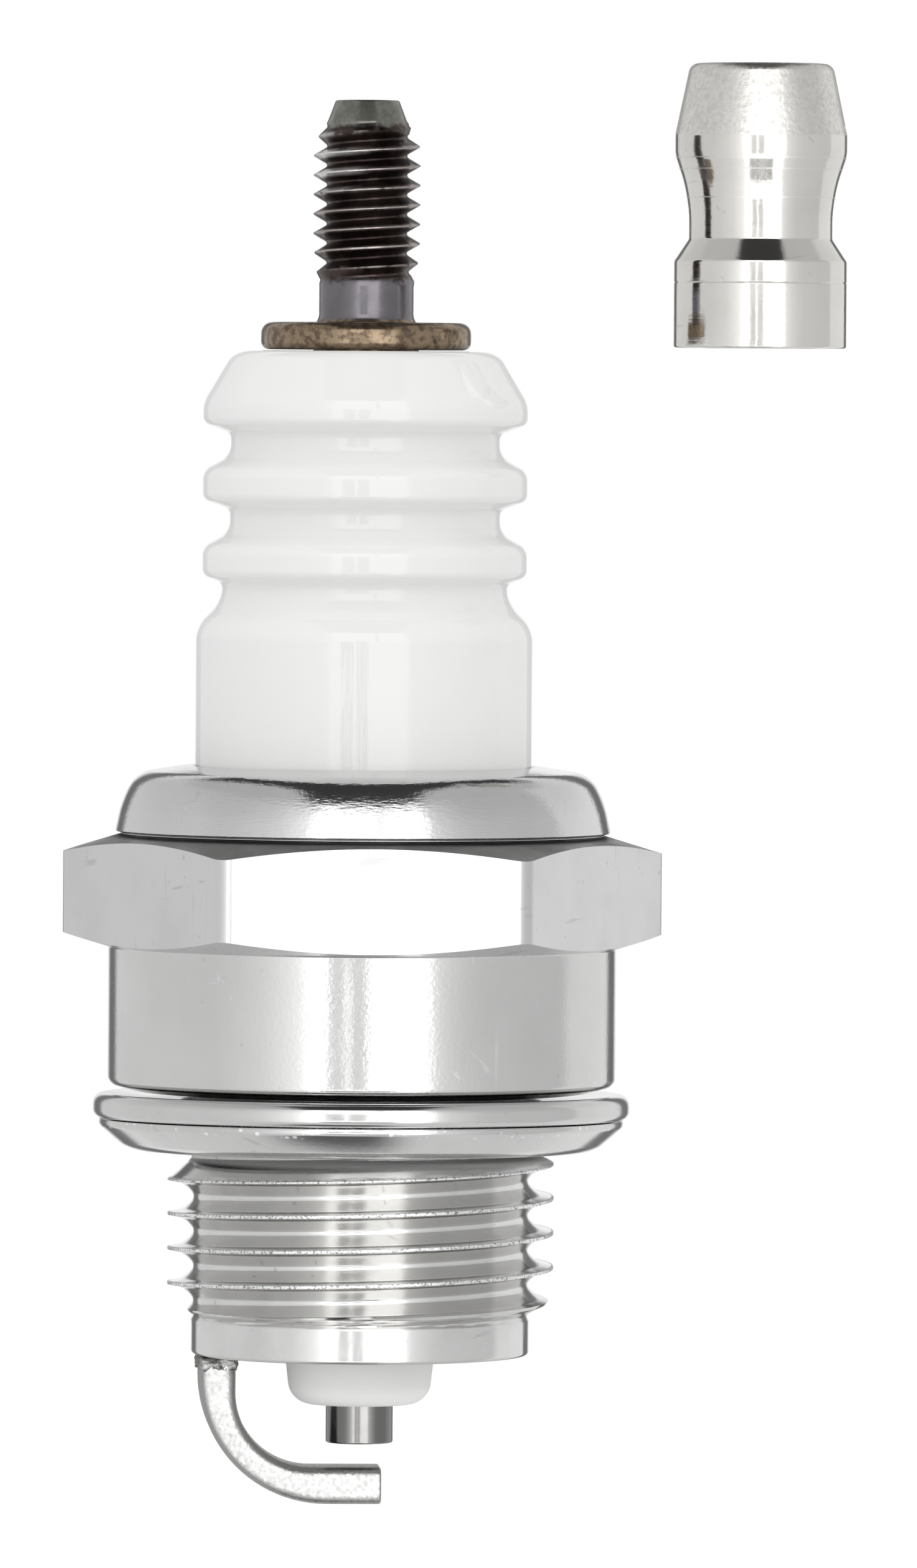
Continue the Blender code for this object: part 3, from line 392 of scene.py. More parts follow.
def makeShell(s, thread):
    bm = bmesh.new()
    slope = tan(radians(s["chamfer"]))
    beyond = s["flat"] / cos(pi / 6) + 0.05
    low, high = thread["cuts"]
    drawProfile(bm, [
        (s["neck"], high + thread["joint"], 0),
        (s["neck"], 0, s["neckRound"]),
        (s["seat"], 0, s["seatRound"]),
        (s["collar"], s["collarFoot"], s["collarCorner"]),
        (s["collar"], s["collarTop"], 0.05),
        (beyond, s["collarTop"] + (beyond - s["collar"]) * slope, 0),
        (beyond, s["hexTop"] - (beyond - s["undercut"]) * slope, 0),
        (s["undercut"], s["hexTop"], 0.04),
        (s["undercut"], s["lipFoot"] - 0.05, 0.02),
        *s["lip"],
        (s["lip"][-1][0], s["lipUnderside"], 0),
        (s["chamber"], s["lipUnderside"], 0.1),
        (s["chamber"], s["step"], 0),
        (s["lowerBore"], s["stepFoot"], 0),
        (s["lowerBore"], s["ledgeTop"], 0),
        (s["ledge"], s["ledgeFoot"], 0),
        (s["ledge"], s["ledgeEnd"], 0),
        (s["firingBore"], s["firingTop"], 0),
        (s["firingBore"], s["rim"], s["rimRound"]),
        (s["pilot"], s["rim"], s["pilotRound"]),
        (s["pilot"], low - thread["joint"], 0),
    ], segments=10)
    turnProfile(bm, s["steps"])
    cutHexagon(bm, s)
    joinThread(bm, thread)
    bmesh.ops.recalc_face_normals(bm, faces=bm.faces)
    plate, satin, rolled, lip, chamfer = range(5)
    for face in bm.faces:
        middle = face.calc_center_median()
        out = hypot(middle.x, middle.y)
        face.material_index = plate
        if middle.z > s["lipFoot"]:
            face.material_index = lip
        elif middle.z > s["collarTop"] and out > s["undercut"] - 0.1:
            face.material_index = chamfer if face.normal.z > 0.3 else satin
        elif middle.z < -0.2 and out > s["firingBore"] + 0.1:
            face.material_index = rolled
    finishes = [dressMetal("nickelPlate", s["metal"]), dressMetal("satinNickel", s["satin"]),
                dressMetal("rolledNickel", s["threadMetal"]), dressMetal("brushedLip", s["lipMetal"]),
                dressMetal("turnedChamfer", s["chamferMetal"])]
    finishPiece(bm, "threadedShell", "plug", ["shell"], finishes, 26, flatArea=15)


makeShell(shellSet, shellThread)


# insulator: white glaze above the shell, bare at the nose

insulatorSet = {
    "steps": 160, "bore": 1.95, "top": 26.64, "topRadius": 4.745, "topRound": 0.45, "rib": 5.85,
    "topRim": 24.77, "barrel": 6.07, "ribRound": 0.28, "footRound": 0.22,
    # rim foot, underside slope, root, next rim, slope of its top and rounding there
    "grooves": [(24.03, 20, 4.85, 22.325, 29, 0.3), (21.28, 20, 4.87, 19.57, 29, 0.3),
                (18.55, 22, 5.14, 16.72, 43, 0.5)],
    # inside the shell
    "barrelFoot": 7.39, "shoulder": 7.005, "shoulderTop": 6.951, "shoulderFoot": 2.858,
    "body": 4.6, "bodyTop": 0.84, "bodyFoot": -3.0135, "noseRoot": 3.35, "noseTop": -3.735,
    "nose": 2.49, "noseRound": 0.72, "noseTip": -11.3, "noseBore": 1.26, "noseBoreTop": -2.29,
    "boreFoot": -1.6,
    # finish, with heights in metres
    "glaze": (0.88, 0.88, 0.872), "shade": (0.855, 0.855, 0.85), "bare": (0.96, 0.96, 0.95),
    "speck": (0.30, 0.25, 0.20), "specks": (300, 0.03, 0.03), "speckShare": 0.5,
    "bareBelow": (-0.003, -0.0035), "glazeRoughness": 0.0, "bareRoughness": 0.55, "glazeBends": 1.52,
    "cloudScale": 130, "rippleScale": 420, "clayScale": 9000, "clayShare": 0.6, "bump": 0.3, "depth": 0.00003,
}


def dressCeramic(s):
    finish, tree, shader, where = startFinish("glazedAlumina")
    height = roundAxis(tree, where)[1]
    bareTop, bareFoot = s["bareBelow"]
    bare = fade(tree, height, bareFoot, bareTop, 1.0, 0.0)
    cloud = grain(tree, where, s["cloudScale"])
    colour = blendColour(tree, fade(tree, cloud, 0.4, 0.75), s["glaze"], s["shade"])
    colour = blendColour(tree, bare, colour, s["bare"])
    specks = times(tree, flecks(tree, where, *s["specks"]), s["speckShare"])
    colour = blendColour(tree, specks, colour, s["speck"])
    gloss = fade(tree, bare, 0.0, 1.0, s["glazeRoughness"], s["bareRoughness"])
    shader.inputs["IOR"].default_value = s["glazeBends"]
    clay = times(tree, times(tree, grain(tree, where, s["clayScale"]), bare), s["clayShare"])
    relief = plus(tree, grain(tree, where, s["rippleScale"], 2.0), clay)
    setFinish(tree, shader, colour, gloss, 0.0, s["bump"], s["depth"], relief)
    return finish


def makeInsulator(s):
    bm = bmesh.new()
    corners = [(s["bore"], s["top"], 0.1), (s["topRadius"], s["top"], s["topRound"]),
               (s["rib"], s["topRim"], s["ribRound"])]
    for groove in s["grooves"]:
        foot, underside, root, nextTop, slope, soft = groove
        outer = s["barrel"] if groove is s["grooves"][-1] else s["rib"]
        corners += [
            (s["rib"], foot, s["footRound"]),
            (root, foot - (s["rib"] - root) * tan(radians(underside)), 0.2),
            (root, nextTop + (outer - root) * tan(radians(slope)), soft + 0.06),
            (outer, nextTop, soft),
        ]
    corners += [
        (s["barrel"], s["barrelFoot"], 0),
        (s["shoulder"], s["shoulderTop"], 0.1),
        (s["shoulder"], s["shoulderFoot"], 0.1),
        (s["body"], s["bodyTop"], 0.2),
        (s["body"], s["bodyFoot"], 0.1),
        (s["noseRoot"], s["noseTop"], 0.2),
        (s["nose"], s["noseTip"], s["noseRound"]),
        (s["noseBore"], s["noseTip"], 0.05),
        (s["noseBore"], s["noseBoreTop"], 0),
        (s["bore"], s["boreFoot"], 0),
    ]
    drawProfile(bm, corners, closed=True, segments=10)
    turnProfile(bm, s["steps"])
    finishPiece(bm, "ribbedInsulator", "plug", ["insulator"], [dressCeramic(s)], 40)


makeInsulator(insulatorSet)


# terminal stud: browned, with worn crests, a dull point and a stained flange

studSet = {
    "steps": 96, "pointTop": 35.66, "pointTopRadius": 1.14, "point": 1.446, "shank": 1.7, "flange": 3.78,
    "flangeTop": 27.67, "flangeFoot": 26.69, "stem": 1.9, "stemFoot": 12.051, "tip": 1.3, "tipFoot": 10.751,
    # finish, with radii and heights in metres
    "threadColour": (0.07, 0.052, 0.048), "threadStain": (0.03, 0.022, 0.02),
    "crestColour": (0.36, 0.32, 0.31), "crestFrom": (0.00178, 0.00188),
    "bareColour": (0.66, 0.65, 0.64), "bareAcross": (0.0003, -0.0008), "bareFrom": (0.00162, 0.0018),
    "bareHeight": (0.0324, 0.0349), "bareSoft": 0.0002,
    "pointColour": (0.23, 0.23, 0.205), "pointStain": (0.17, 0.17, 0.152), "pointAbove": (0.03465, 0.03485),
    "shankColour": (0.185, 0.175, 0.19), "shankStain": (0.15, 0.141, 0.155), "shankBelow": (0.02925, 0.0290),
    "flangeColour": (0.29, 0.22, 0.148), "flangeStain": (0.13, 0.092, 0.064),
    "flangeBelow": (0.02782, 0.02772), "flangeSpeck": (0.05, 0.035, 0.03), "flangeSpecks": (1700, 0.3, 0.3),
    "speckShare": 0.8, "patchScale": 900, "fineScale": 3200, "fineShare": 0.7, "ragged": 0.0009,
    "metallic": 0.9, "roughness": (0.18, 0.28), "bump": 0.2, "depth": 0.00002,
}
studThread = {
    "pitch": 0.7, "root": 1.46, "crestAtX": 34.02, "steps": 96, "cuts": (29.0, 34.86), "joint": 0.05,
    "profile": [(1.92, 0, 0), (1.92, 0.025, 0.012), (1.357, 0.35, 0.178), (1.92, 0.675, 0.012),
                (1.92, 0.7, 0)],
    "nicks": 0.07, "nickScale": 5.0, "nickFrom": 0.36,
    "ends": [(28.95, 1.7, 0, 1.7), (29.1, 1.7, 0.1, 1.72), (29.5, 1.52, 0.8, 1.8), (29.75, 1.46, 1, 1.84),
             (30.4, 1.46, 1, 1.9), (31.2, 1.46, 1, 2), (33.8, 1.46, 1, 1.95), (34.0, 1.46, 1, 1.9),
             (34.3, 1.46, 1, 1.78), (34.6, 1.46, 1, 1.65), (34.78, 1.45, 0.3, 1.47), (34.9, 1.446, 0, 1.446)],
}


def dressStud(s):
    finish, tree, shader, where = startFinish("brownedSteel")
    radius, height = roundAxis(tree, where)
    x = addNode(tree, "SeparateXYZ", {0: where}).outputs[0]
    patches = grain(tree, where, s["patchScale"], 4.0, 0.62)
    fine = grain(tree, where, s["fineScale"], 4.0, 0.62)
    ragged = plus(tree, height, times(tree, calc(tree, "SUBTRACT", patches, 0.5), s["ragged"]))
    # thread, with its crests rubbed and the upper ones bare on one side
    colour = blendColour(tree, fade(tree, patches, 0.42, 0.6), s["threadColour"], s["threadStain"])
    rubbed = times(tree, fade(tree, radius, *s["crestFrom"]), fade(tree, fine, 0.26, 0.44))
    colour = blendColour(tree, rubbed, colour, s["crestColour"])
    struck = times(tree, fade(tree, x, *s["bareAcross"]), band(tree, height, *s["bareHeight"], s["bareSoft"]))
    struck = times(tree, struck, fade(tree, radius, *s["bareFrom"]))
    struck = times(tree, struck, fade(tree, patches, 0.40, 0.48))
    colour = blendColour(tree, struck, colour, s["bareColour"])
    # point, shank and flange
    point = blendColour(tree, fade(tree, fine, 0.4, 0.62), s["pointColour"], s["pointStain"])
    colour = blendColour(tree, fade(tree, ragged, *s["pointAbove"]), colour, point)
    shank = blendColour(tree, fade(tree, patches, 0.3, 0.8), s["shankColour"], s["shankStain"])
    colour = blendColour(tree, fade(tree, ragged, *s["shankBelow"]), colour, shank)
    flange = blendColour(tree, fade(tree, fine, 0.42, 0.62), s["flangeColour"], s["flangeStain"])
    specks = times(tree, flecks(tree, where, *s["flangeSpecks"]), s["speckShare"])
    flange = blendColour(tree, specks, flange, s["flangeSpeck"])
    colour = blendColour(tree, fade(tree, height, *s["flangeBelow"]), colour, flange)
    gloss = fade(tree, fine, 0.2, 0.8, *s["roughness"])
    relief = plus(tree, patches, times(tree, fine, s["fineShare"]))
    setFinish(tree, shader, colour, gloss, s["metallic"], s["bump"], s["depth"], relief)
    return finish


def makeStud(s, thread):
    bm = bmesh.new()
    low, high = thread["cuts"]
    drawProfile(bm, [
        (0, s["pointTop"], 0),
        (s["pointTopRadius"], s["pointTop"], 0.06),
        (s["point"] - 0.02, high + thread["joint"], 0),
    ])
    drawProfile(bm, [
        (s["shank"], low - thread["joint"], 0),
        (s["shank"], s["flangeTop"] + 0.2, 0.1),
        (s["shank"] + 0.1, s["flangeTop"], 0.05),
        (s["flange"], s["flangeTop"], 0.4),
        (s["flange"], s["flangeFoot"], 0.28),
        (s["stem"], s["flangeFoot"], 0),
        (s["stem"], s["stemFoot"], 0.05),
        (s["tip"], s["stemFoot"], 0),
        (s["tip"], s["tipFoot"], 0.1),
        (0, s["tipFoot"], 0),
    ])
    turnProfile(bm, s["steps"])
    joinThread(bm, thread)
    finishPiece(bm, "threadedStud", "plug", ["terminal_stud"], [dressStud(s)], 34)


makeStud(studSet, studThread)


# terminal nut, loose, with a machined cone above a polished band and waist

nutSet = {
    "steps": 128, "axis": (14.2, 0.0, 26.84), "foot": 3.12, "footTop": 3.13, "waist": 2.59, "taperTop": 3.93,
    "waistTop": 5.40, "flareTop": 6.94, "bandTop": 7.645, "band": 3.105, "top": 10.25, "topRadius": 2.565,
    "mouth": 2.22, "groove": 2.36, "grooveHalf": 0.03, "grooveDepth": 0.02,
    "polish": {
        "colour": (0.75, 0.735, 0.705), "stain": (0.69, 0.672, 0.64), "scratchColour": (0.5, 0.48, 0.45),
        "roughness": 0.11, "cloudScale": 300, "fineScale": 5200, "ringScale": 6000, "scratchScale": 3200,
        "scratches": 0.4, "flecks": 0.1, "rings": 0.8, "grain": 0.5, "bump": 0.4,
        "lines": [0.03225, 0.03327, 0.03368],
    },
    "machined": {
        "colour": (0.76, 0.745, 0.715), "stain": (0.64, 0.626, 0.598), "scratchColour": (0.92, 0.91, 0.88),
        "roughness": 0.34, "cloudScale": 6000, "fineScale": 6500, "ringScale": 6500, "scratchScale": 3600,
        "scratches": 0.8, "flecks": 0.1, "rings": 0.7, "grain": 1.2, "bump": 1.0,
    },
}
nutThread = {
    "pitch": 0.7, "root": 1.97, "crestAtX": 0.35, "steps": 72, "cuts": (0.28, 9.97), "joint": 0.02,
    "profile": [(1.97, 0, 0), (1.97, 0.05, 0.02), (1.6, 0.27, 0.02), (1.6, 0.43, 0.02), (1.97, 0.65, 0.02),
                (1.97, 0.7, 0)],
    "ends": [(0.3, 1.97, 0, 3), (0.32, 1.97, 0, 3), (0.9, 1.97, 1, 3), (9.3, 1.97, 1, 3), (9.93, 1.97, 0, 3)],
}


def makeNut(s, thread):
    bm = bmesh.new()
    low, high = thread["cuts"]
    drawProfile(bm, [
        (thread["root"], high + thread["joint"], 0),
        (s["mouth"], s["top"], 0.06),
        (s["topRadius"], s["top"], 0.3),
        (s["band"], s["bandTop"], 0.04),
        (s["band"], s["flareTop"], 0.22),
        (s["waist"], s["waistTop"], 0.85),
        (s["waist"], s["taperTop"], 0.05),
        (s["foot"], s["footTop"], 0.06),
        (s["foot"], s["groove"] + s["grooveHalf"], 0.02),
        (s["foot"] - s["grooveDepth"], s["groove"], 0.01),
        (s["foot"], s["groove"] - s["grooveHalf"], 0.02),
        (s["foot"], 0, 0.08),
        (s["mouth"], 0, 0.05),
        (thread["root"], low - thread["joint"], 0),
    ])
    turnProfile(bm, s["steps"])
    joinThread(bm, thread)
    polished, machined = range(2)
    for face in bm.faces:
        onCone = face.calc_center_median().z > s["bandTop"] + 0.03
        face.material_index = machined if onCone else polished
    bmesh.ops.translate(bm, verts=bm.verts, vec=s["axis"])
    finishes = [dressMetal("silverPolish", s["polish"]), dressMetal("silverMachined", s["machined"])]
    finishPiece(bm, "waistedNut", "nut", ["terminal_nut"], finishes, 26)


makeNut(nutSet, nutThread)


# seat gasket: one sheet, folded into two rolls with an open seam, lying a little tilted on the neck

gasketSet = {
    "steps": 192, "sheet": 0.32, "pinch": 0.002, "tilt": -0.7, "tiltAt": -1.2,
    # from the tucked edge round the lower roll and the upper one
    "fold": [(9.43, -1.03, 0), (9.5, -1.2, 0.16), (8.42, -2.15, 0.42), (6.4, -2.15, 0.2), (6.4, -0.35, 0.2),
             (8.0, -0.3, 0.3), (9.67, -0.03, 0.48), (9.67, -1.0, 0.32), (7.6, -1.0, 0)],
    "metal": {
        "colour": (0.67, 0.67, 0.665), "stain": (0.62, 0.62, 0.615), "scratchColour": (0.45, 0.45, 0.45),
        "roughness": 0.15, "cloudScale": 260, "fineScale": 4200, "ringScale": 3800, "scratchScale": 2400,
        "scratches": 0.3, "flecks": 0.1, "rings": 0.5, "grain": 0.5, "bump": 0.3,
        # painted glints: bright specks along the seam, for light caught on the folded edge
        "seam": (-0.00128, -0.00098),
    },
}


def makeGasket(s):
    bm = bmesh.new()
    drawProfile(bm, s["fold"], segments=10)
    turnProfile(bm, s["steps"])
    bmesh.ops.recalc_face_normals(bm, faces=bm.faces)
    # the sheet thickens inwards, so its faces have to point out
    outmost = max(bm.faces, key=lambda face: hypot(*face.calc_center_median().xy))
    if outmost.normal.xy.dot(outmost.calc_center_median().xy) < 0:
        bmesh.ops.reverse_faces(bm, faces=bm.faces)
    bmesh.ops.solidify(bm, geom=bm.faces[:], thickness=s["sheet"])
    bmesh.ops.remove_doubles(bm, verts=bm.verts, dist=s["pinch"])  # the tight bend closes to a line inside
    lean = Matrix.Rotation(radians(s["tilt"]), 3, "X")
    bmesh.ops.rotate(bm, verts=bm.verts, cent=(0, 0, s["tiltAt"]), matrix=lean)
    finishPiece(bm, "foldedGasket", "gasket", ["seat_gasket"],
                [dressMetal("brightSheet", s["metal"])], 35)


makeGasket(gasketSet)


# centre electrode: a polished rod in the insulator's nose

centreSet = {
    "steps": 96, "radius": 1.21, "tip": -12.7, "stub": 1.05, "stubTop": 0.501,
    "head": 1.9, "headTop": -0.699, "headFoot": -1.579, "coneFoot": -2.269, "core": 0.7, "coreFoot": -9.75,
    "metal": {
        "colour": (0.36, 0.357, 0.352), "stain": (0.32, 0.317, 0.312), "scratchColour": (0.5, 0.5, 0.48),
        "roughness": 0.15, "cloudScale": 600, "fineScale": 6000, "ringScale": 9000, "scratchScale": 4200,
        "scratches": 0.1, "flecks": 0.1, "rings": 0.5, "grain": 0.3, "bump": 0.25,
        # painted reflection: the sides darker than the front and back, by which way the surface faces
        "flank": (0, 0.25, 0.5, (0.19, 0.188, 0.186)),
    },
}


def makeCentreElectrode(s):
    bm = bmesh.new()
    drawProfile(bm, [
        (0, s["coreFoot"], 0),
        (s["core"], s["coreFoot"], 0),
        (s["core"], s["stubTop"], 0),
        (s["stub"], s["stubTop"], 0.05),
        (s["stub"], s["headTop"], 0),
        (s["head"], s["headTop"], 0.05),
        (s["head"], s["headFoot"], 0),
        (s["radius"], s["coneFoot"], 0),
        (s["radius"], s["tip"], 0.07),
        (0, s["tip"], 0),
    ])
    turnProfile(bm, s["steps"])
    finishPiece(bm, "centreRod", "plug", ["centre_electrode"],
                [dressMetal("polishedAlloy", s["metal"])], 30)


makeCentreElectrode(centreSet)


# ground electrode: a flat bar bent under the centre electrode, thinner round the bend, with its weld

groundSet = {
    "inside": -4.5, "outside": -5.82, "legTop": -9.55, "face": -13.55, "back": -14.87, "tip": 0.76,
    "insideBend": 2.7, "outsideBend": 4.6, "width": 2.5, "edge": 0.36, "tipEdge": 0.1,
    "bar": {
        "colour": (0.64, 0.64, 0.635), "stain": (0.5, 0.5, 0.495), "scratchColour": (0.9, 0.9, 0.9),
        "roughness": 0.34, "cloudScale": 7000, "fineScale": 7000, "ringScale": 2000, "scratchScale": 3000,
        "scratches": 0.5, "flecks": 0.3, "rings": 0.1, "grain": 2.4, "bump": 1.0,
        # painted shade on the narrow faces and rounded edges, by which way the surface faces
        "flank": (1, 0.97, 0.75, (0.36, 0.36, 0.355)),
    },
    # bead: foot, how much wider than the leg, rounding, then noise scales and reaches
    "beadFoot": -10.05, "beadWider": (0.1, 0.12), "beadRound": 0.16, "beadCuts": 12, "beadUncut": 0.15,
    "beadSides": [(4, 0.12), (11, 0.06)], "beadUnder": (6, 0.14), "beadShift": (9, 3, 1), "beadEven": 0.2,
    "weld": {
        "colour": (0.40, 0.40, 0.39), "stain": (0.12, 0.115, 0.115), "scratchColour": (0.85, 0.85, 0.85),
        "roughness": 0.3, "cloudScale": 1500, "fineScale": 3600, "ringScale": 2000, "scratchScale": 3000,
        "scratches": 0.6, "flecks": 0.6, "rings": 0.1, "grain": 1.0, "bump": 0.9,
    },
}


def makeGroundBar(s):
    bm = bmesh.new()
    half = s["width"] / 2
    outline = [
        (s["outside"], s["legTop"], 0),
        (s["outside"], s["back"], s["outsideBend"]),
        (s["tip"], s["back"], 0),
        (s["tip"], s["face"], 0),
        (s["inside"], s["face"], s["insideBend"]),
        (s["inside"], s["legTop"], 0),
    ]
    drawProfile(bm, outline, closed=True, segments=24)
    bmesh.ops.translate(bm, verts=bm.verts, vec=(0, -half, 0))
    bmesh.ops.contextual_create(bm, geom=bm.edges[:])
    grown = bmesh.ops.extrude_face_region(bm, geom=bm.faces[:])
    moved = [part for part in grown["geom"] if isinstance(part, bmesh.types.BMVert)]
    bmesh.ops.translate(bm, verts=moved, vec=(0, s["width"], 0))
    bmesh.ops.recalc_face_normals(bm, faces=bm.faces)
    for atTip, reach in ((False, s["edge"]), (True, s["tipEdge"])):  # the cut tip is sharper
        edges = [edge for edge in bm.edges if edge.calc_face_angle(0) > radians(40)
                 and all(vert.co.x > s["tip"] - 0.001 for vert in edge.verts) == atTip]
        bmesh.ops.bevel(bm, geom=edges, offset=reach, offset_type="OFFSET", segments=6, profile=0.5,
                        affect="EDGES", material=-1)
    finishPiece(bm, "bentGroundBar", "plug", ["ground_electrode"],
                [dressMetal("drawnAlloy", s["bar"])], 30)


def makeWeldBead(s):
    # flash squeezed out round the leg's top
    bm = bmesh.new()
    middle = (s["inside"] + s["outside"]) / 2
    tall = s["legTop"] - s["beadFoot"]
    deep, wide = s["beadWider"]
    bmesh.ops.create_cube(bm, size=1)
    bmesh.ops.scale(bm, vec=(s["inside"] - s["outside"] + deep, s["width"] + wide, tall), verts=bm.verts)
    bmesh.ops.bevel(bm, geom=bm.edges[:], offset=s["beadRound"], offset_type="OFFSET", segments=3,
                    profile=0.5, affect="EDGES", material=-1)
    longEdges = [edge for edge in bm.edges if edge.calc_length() > s["beadUncut"]]
    bmesh.ops.subdivide_edges(bm, edges=longEdges, cuts=s["beadCuts"], use_grid_fill=True)
    bmesh.ops.translate(bm, verts=bm.verts, vec=(middle, 0, s["legTop"] - tall / 2))
    underScale, underReach = s["beadUnder"]
    shift = Vector(s["beadShift"])
    for vert in bm.verts:
        ragged = sum(noise.noise(vert.co * scale) * reach for scale, reach in s["beadSides"])
        vert.co += Vector((vert.co.x - middle, vert.co.y, 0)).normalized() * ragged
        if vert.co.z < s["legTop"] - s["beadEven"]:
            vert.co.z += noise.noise(vert.co * underScale + shift) * underReach
    finishPiece(bm, "weldBead", "plug", [], [dressMetal("weldFlash", s["weld"])], 60)


makeGroundBar(groundSet)
makeWeldBead(groundSet)


# pieces inside the shell and the insulator keep their solids and get their own finishes

insideSet = {
    "packedTalc": {"nodes": ["talc_packing"], "colour": (0.80, 0.79, 0.75), "other": (0.70, 0.69, 0.65),
                   "metallic": 0, "roughness": 0.9, "scale": 2600, "bump": 0.6},
    "ringSteel": {"nodes": ["upper_packing_ring", "lower_packing_ring", "inner_seal_washer"],
                  "colour": (0.46, 0.46, 0.47), "other": (0.36, 0.36, 0.37), "metallic": 1, "roughness": 0.38,
                  "scale": 1800, "bump": 0.3},
    "fusedSeal": {"nodes": ["upper_glass_seal", "lower_glass_seal"], "colour": (0.30, 0.19, 0.14),
                  "other": (0.16, 0.12, 0.11), "metallic": 0.2, "roughness": 0.4, "scale": 2200, "bump": 0.4},
    "carbonCore": {"nodes": ["resistor"], "colour": (0.05, 0.05, 0.05), "other": (0.09, 0.085, 0.08),
                   "metallic": 0, "roughness": 0.65, "scale": 2800, "bump": 0.5},
    "copperCore": {"nodes": ["electrode_copper_core"], "colour": (0.72, 0.38, 0.22),
                   "other": (0.56, 0.27, 0.15), "metallic": 1, "roughness": 0.3, "scale": 1500, "bump": 0.25},
}
insideDepth = 0.00002


def dressInside(name, look):
    finish, tree, shader, where = startFinish(name)
    cloud = grain(tree, where, look["scale"], 4.0, 0.6)
    share = fade(tree, cloud, 0.4, 0.62)
    colour = blendColour(tree, share, look["colour"], look["other"])
    gloss = fade(tree, share, 0.0, 1.0, look["roughness"] * 0.9, min(1, look["roughness"] * 1.15))
    setFinish(tree, shader, colour, gloss, look["metallic"], look["bump"], insideDepth, cloud)
    for node in look["nodes"]:
        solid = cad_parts[node].data
        solid.materials.clear()
        solid.materials.append(finish)


for name, look in insideSet.items():
    dressInside(name, look)
print("inside finishes:", len(insideSet))


# camera as in the photograph, a little above the middle

cameraSet = {
    "distance": 0.5, "azimuth": -2.9, "elevation": 1.6, "roll": 0.38,
    "aim": (3.43, 11.075), "frame": 56.5, "clip": (0.01, 20),
}


def placeCamera(s):
    turn, tip = radians(s["azimuth"]), radians(s["elevation"])
    across, up = s["aim"]
    right = Vector((cos(turn), sin(turn), 0))
    back = Vector((sin(turn) * cos(tip), -cos(turn) * cos(tip), sin(tip)))
    lens = bpy.data.cameras.new("camera")
    lens.lens = lens.sensor_width * s["distance"] / (s["frame"] * 0.001)
    lens.clip_start, lens.clip_end = s["clip"]
    camera = bpy.data.objects.new("camera", lens)
    bpy.context.scene.collection.objects.link(camera)
    camera.location = right * across * 0.001 + Vector((0, 0, up * 0.001)) + back * s["distance"]
    camera.rotation_mode = "QUATERNION"
    camera.rotation_quaternion = (-back).to_track_quat("-Z", "Y") @ Quaternion((0, 0, 1), radians(s["roll"]))
    bpy.context.scene.camera = camera
    print("camera lens:", round(lens.lens, 1), "mm")


placeCamera(cameraSet)


# studio: white all round, a broad soft light behind the camera, dark gaps above it and at the far edges

studioSet = {
    # light on matte surfaces from the front and the back, then what metal shows far below and far above
    "even": (1.28, 0.54), "far": (0.82, 0.68),
    # degrees round from the camera and light there
    "around": [(-180, 1.0), (-165, 1.0), (-151, 0.8), (-115, 0.79), (-70, 0.79), (-56, 0.86), (-47, 0.91),
               (-39, 1.03), (-31, 1.19), (-25, 1.4), (-22, 2.3), (29, 2.3), (33, 1.07), (41, 0.9),
               (50, 0.79), (59, 0.73), (85, 0.69), (105, 0.69), (108, 0.9), (165, 0.95), (180, 1.0)],
    "brightest": 4.0, "lightHeight": (-42, 40), "lightSoft": 4, "farAbove": (-30.0, 30.0),
    # light falls off upwards: degrees above, then the shares left
    "dim": (5.0, 35.0, 1.0, 0.86),
    "gapLight": 0.05, "gapHalf": 0.38, "gapSoft": 0.05, "gapFrom": (36, 45),
    # cosines from straight behind the object, where dark edges are seen, weaker in the smooth glaze
    "edge": (0.864, 0.972), "edgeSoft": 0.012, "edgeLight": 0.18, "edgeGlaze": 0.5,
    # a dark place below: how far across and back, with how soft it ends
    "shadeAcross": (-0.3, 0.12, 0.1), "shadeBack": (-0.3, 0.2, 0.08), "shadeLight": 0.12,
    # dark reflections: degrees across and degrees above, with how soft they end
    "patchAcross": (-20, 18, 3), "patchAbove": (-46, -27, 3), "patchLight": 0.02,
    "streaks": [(-15.5, -6.8, -18, 10), (-5, 3.4, -18, 10), (8, 10.8, 12, 40)], "streakSoft": (0.8, 3),
    "streakLight": 0.12, "mottleScale": 70, "mottle": (0.38, 0.56, 0.2, 1.0),
    "floor": -0.024, "floorSize": 4.0, "floorColour": (0.86, 0.86, 0.86), "floorGlow": 0.26,
}


def ringLight(tree, s, across):
    # the ramp's colours stay below 1 and are scaled up again
    ring = addNode(tree, "ValToRGB", {0: plus(tree, calc(tree, "DIVIDE", across, 360.0), 0.5)})
    stops = ring.color_ramp.elements
    while len(stops) < len(s["around"]):
        stops.new(0.5)
    for stop, (angle, light) in zip(stops, s["around"]):
        stop.position = angle / 360 + 0.5
        stop.color = (*[light / s["brightest"]] * 3, 1)
    return times(tree, ring.outputs[0], s["brightest"])


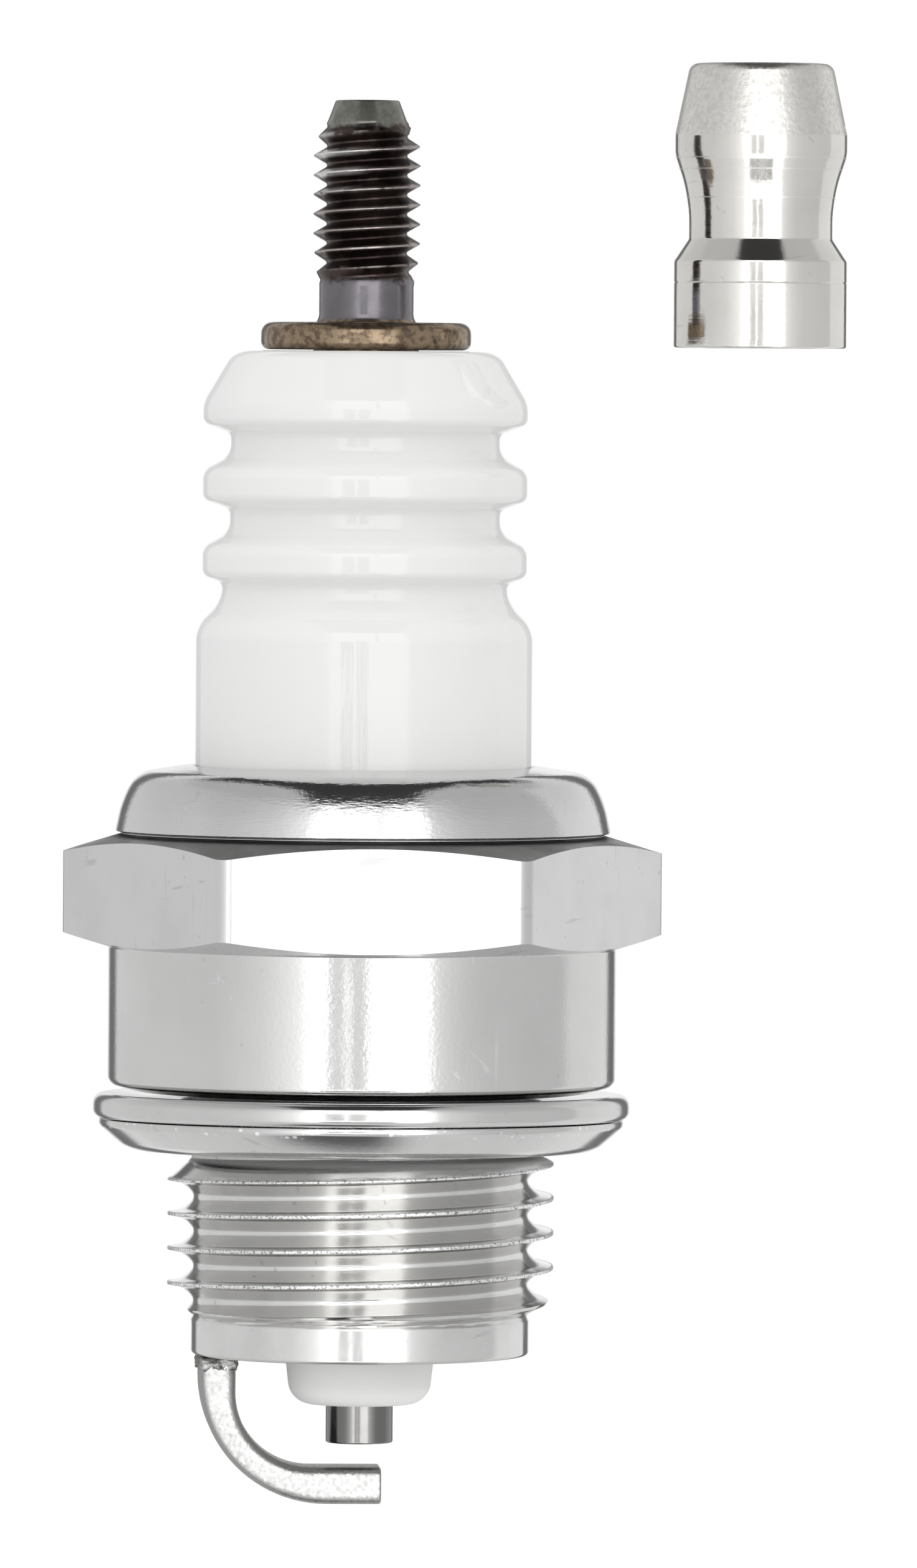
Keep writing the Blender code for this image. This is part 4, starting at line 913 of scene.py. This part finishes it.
def wrapStudio(s):
    world = bpy.data.worlds.new("studio")
    bpy.context.scene.world = world
    world.use_nodes = True
    world.cycles.sampling_method = "NONE"
    tree = world.node_tree
    tree.nodes.clear()
    where = addNode(tree, "TexCoord").outputs["Generated"]
    turn = -radians(cameraSet["azimuth"])
    faced = addNode(tree, "VectorRotate", {"Vector": where, "Angle": turn}, rotation_type="Z_AXIS").outputs[0]
    x, y, z = addNode(tree, "SeparateXYZ", {0: faced}).outputs
    degrees = 180 / pi
    across = times(tree, calc(tree, "ARCTAN2", x, times(tree, y, -1.0)), degrees)
    above = times(tree, calc(tree, "ARCSINE", z), degrees)
    path = addNode(tree, "LightPath").outputs
    # what metal and glaze show
    far = fade(tree, above, *s["farAbove"], *s["far"])
    level = band(tree, above, *s["lightHeight"], s["lightSoft"])
    light = blendValue(tree, level, far, ringLight(tree, s, across))
    light = times(tree, light, fade(tree, above, *s["dim"]))
    glaze = fade(tree, path["Is Singular Ray"], 0.0, 1.0, 1.0, s["edgeGlaze"])
    edge = times(tree, band(tree, y, *s["edge"], s["edgeSoft"]), glaze)
    light = blendValue(tree, edge, light, s["edgeLight"])
    gap = band(tree, x, -s["gapHalf"], s["gapHalf"], s["gapSoft"])
    light = blendValue(tree, times(tree, gap, fade(tree, above, *s["gapFrom"])), light, s["gapLight"])
    shade = times(tree, band(tree, x, *s["shadeAcross"]), band(tree, y, *s["shadeBack"]))
    shade = times(tree, shade, calc(tree, "LESS_THAN", above, 0.0))
    light = blendValue(tree, shade, light, s["shadeLight"])
    mottle = fade(tree, grain(tree, faced, s["mottleScale"], 2.0), *s["mottle"])
    patch = times(tree, band(tree, across, *s["patchAcross"]), band(tree, above, *s["patchAbove"]))
    light = blendValue(tree, times(tree, patch, mottle), light, s["patchLight"])
    softAcross, softAbove = s["streakSoft"]
    for left, right, low, high in s["streaks"]:
        beside = band(tree, across, left, right, softAcross)
        streak = times(tree, times(tree, beside, band(tree, above, low, high, softAbove)), mottle)
        light = times(tree, light, fade(tree, streak, 0.0, 1.0, 1.0, s["streakLight"]))
    # what lights matte surfaces, from the front to the back
    near, behind = s["even"]
    feeds = {"Value": y, "From Min": -1.0, "From Max": 1.0, "To Min": near, "To Max": behind}
    light = blendValue(tree, path["Is Glossy Ray"], addNode(tree, "MapRange", feeds).outputs[0], light)
    seen = calc(tree, "MAXIMUM", path["Is Camera Ray"], path["Is Transmission Ray"])
    light = blendValue(tree, seen, light, 1.0)
    backdrop = addNode(tree, "Background", {"Color": (1, 1, 1, 1), "Strength": light})
    sheet = addNode(tree, "OutputWorld")
    tree.links.new(backdrop.outputs[0], sheet.inputs[0])


def layFloor(s):
    bm = bmesh.new()
    bmesh.ops.create_grid(bm, x_segments=1, y_segments=1, size=s["floorSize"] / 2)
    bmesh.ops.translate(bm, verts=bm.verts, vec=(0, 0, s["floor"]))
    mesh = bpy.data.meshes.new("paleFloor")
    bm.to_mesh(mesh)
    bm.free()
    floor = bpy.data.objects.new("paleFloor", mesh)
    bpy.context.scene.collection.objects.link(floor)
    paper = bpy.data.materials.new("whitePaper")
    paper.use_nodes = True
    tree = paper.node_tree
    tree.nodes.clear()
    path = addNode(tree, "LightPath").outputs
    matte = addNode(tree, "BsdfDiffuse", {"Color": (*s["floorColour"], 1)})
    glow = addNode(tree, "Emission", {"Strength": times(tree, path["Is Camera Ray"], s["floorGlow"])})
    both = addNode(tree, "AddShader", {0: matte.outputs[0], 1: glow.outputs[0]})
    clear = addNode(tree, "BsdfTransparent")  # metal shows the studio past it
    shown = addNode(tree, "MixShader", {0: path["Is Glossy Ray"], 1: both.outputs[0], 2: clear.outputs[0]})
    sheet = addNode(tree, "OutputMaterial")
    tree.links.new(shown.outputs[0], sheet.inputs[0])
    mesh.materials.append(paper)


wrapStudio(studioSet)
layFloor(studioSet)
print("studio ready")
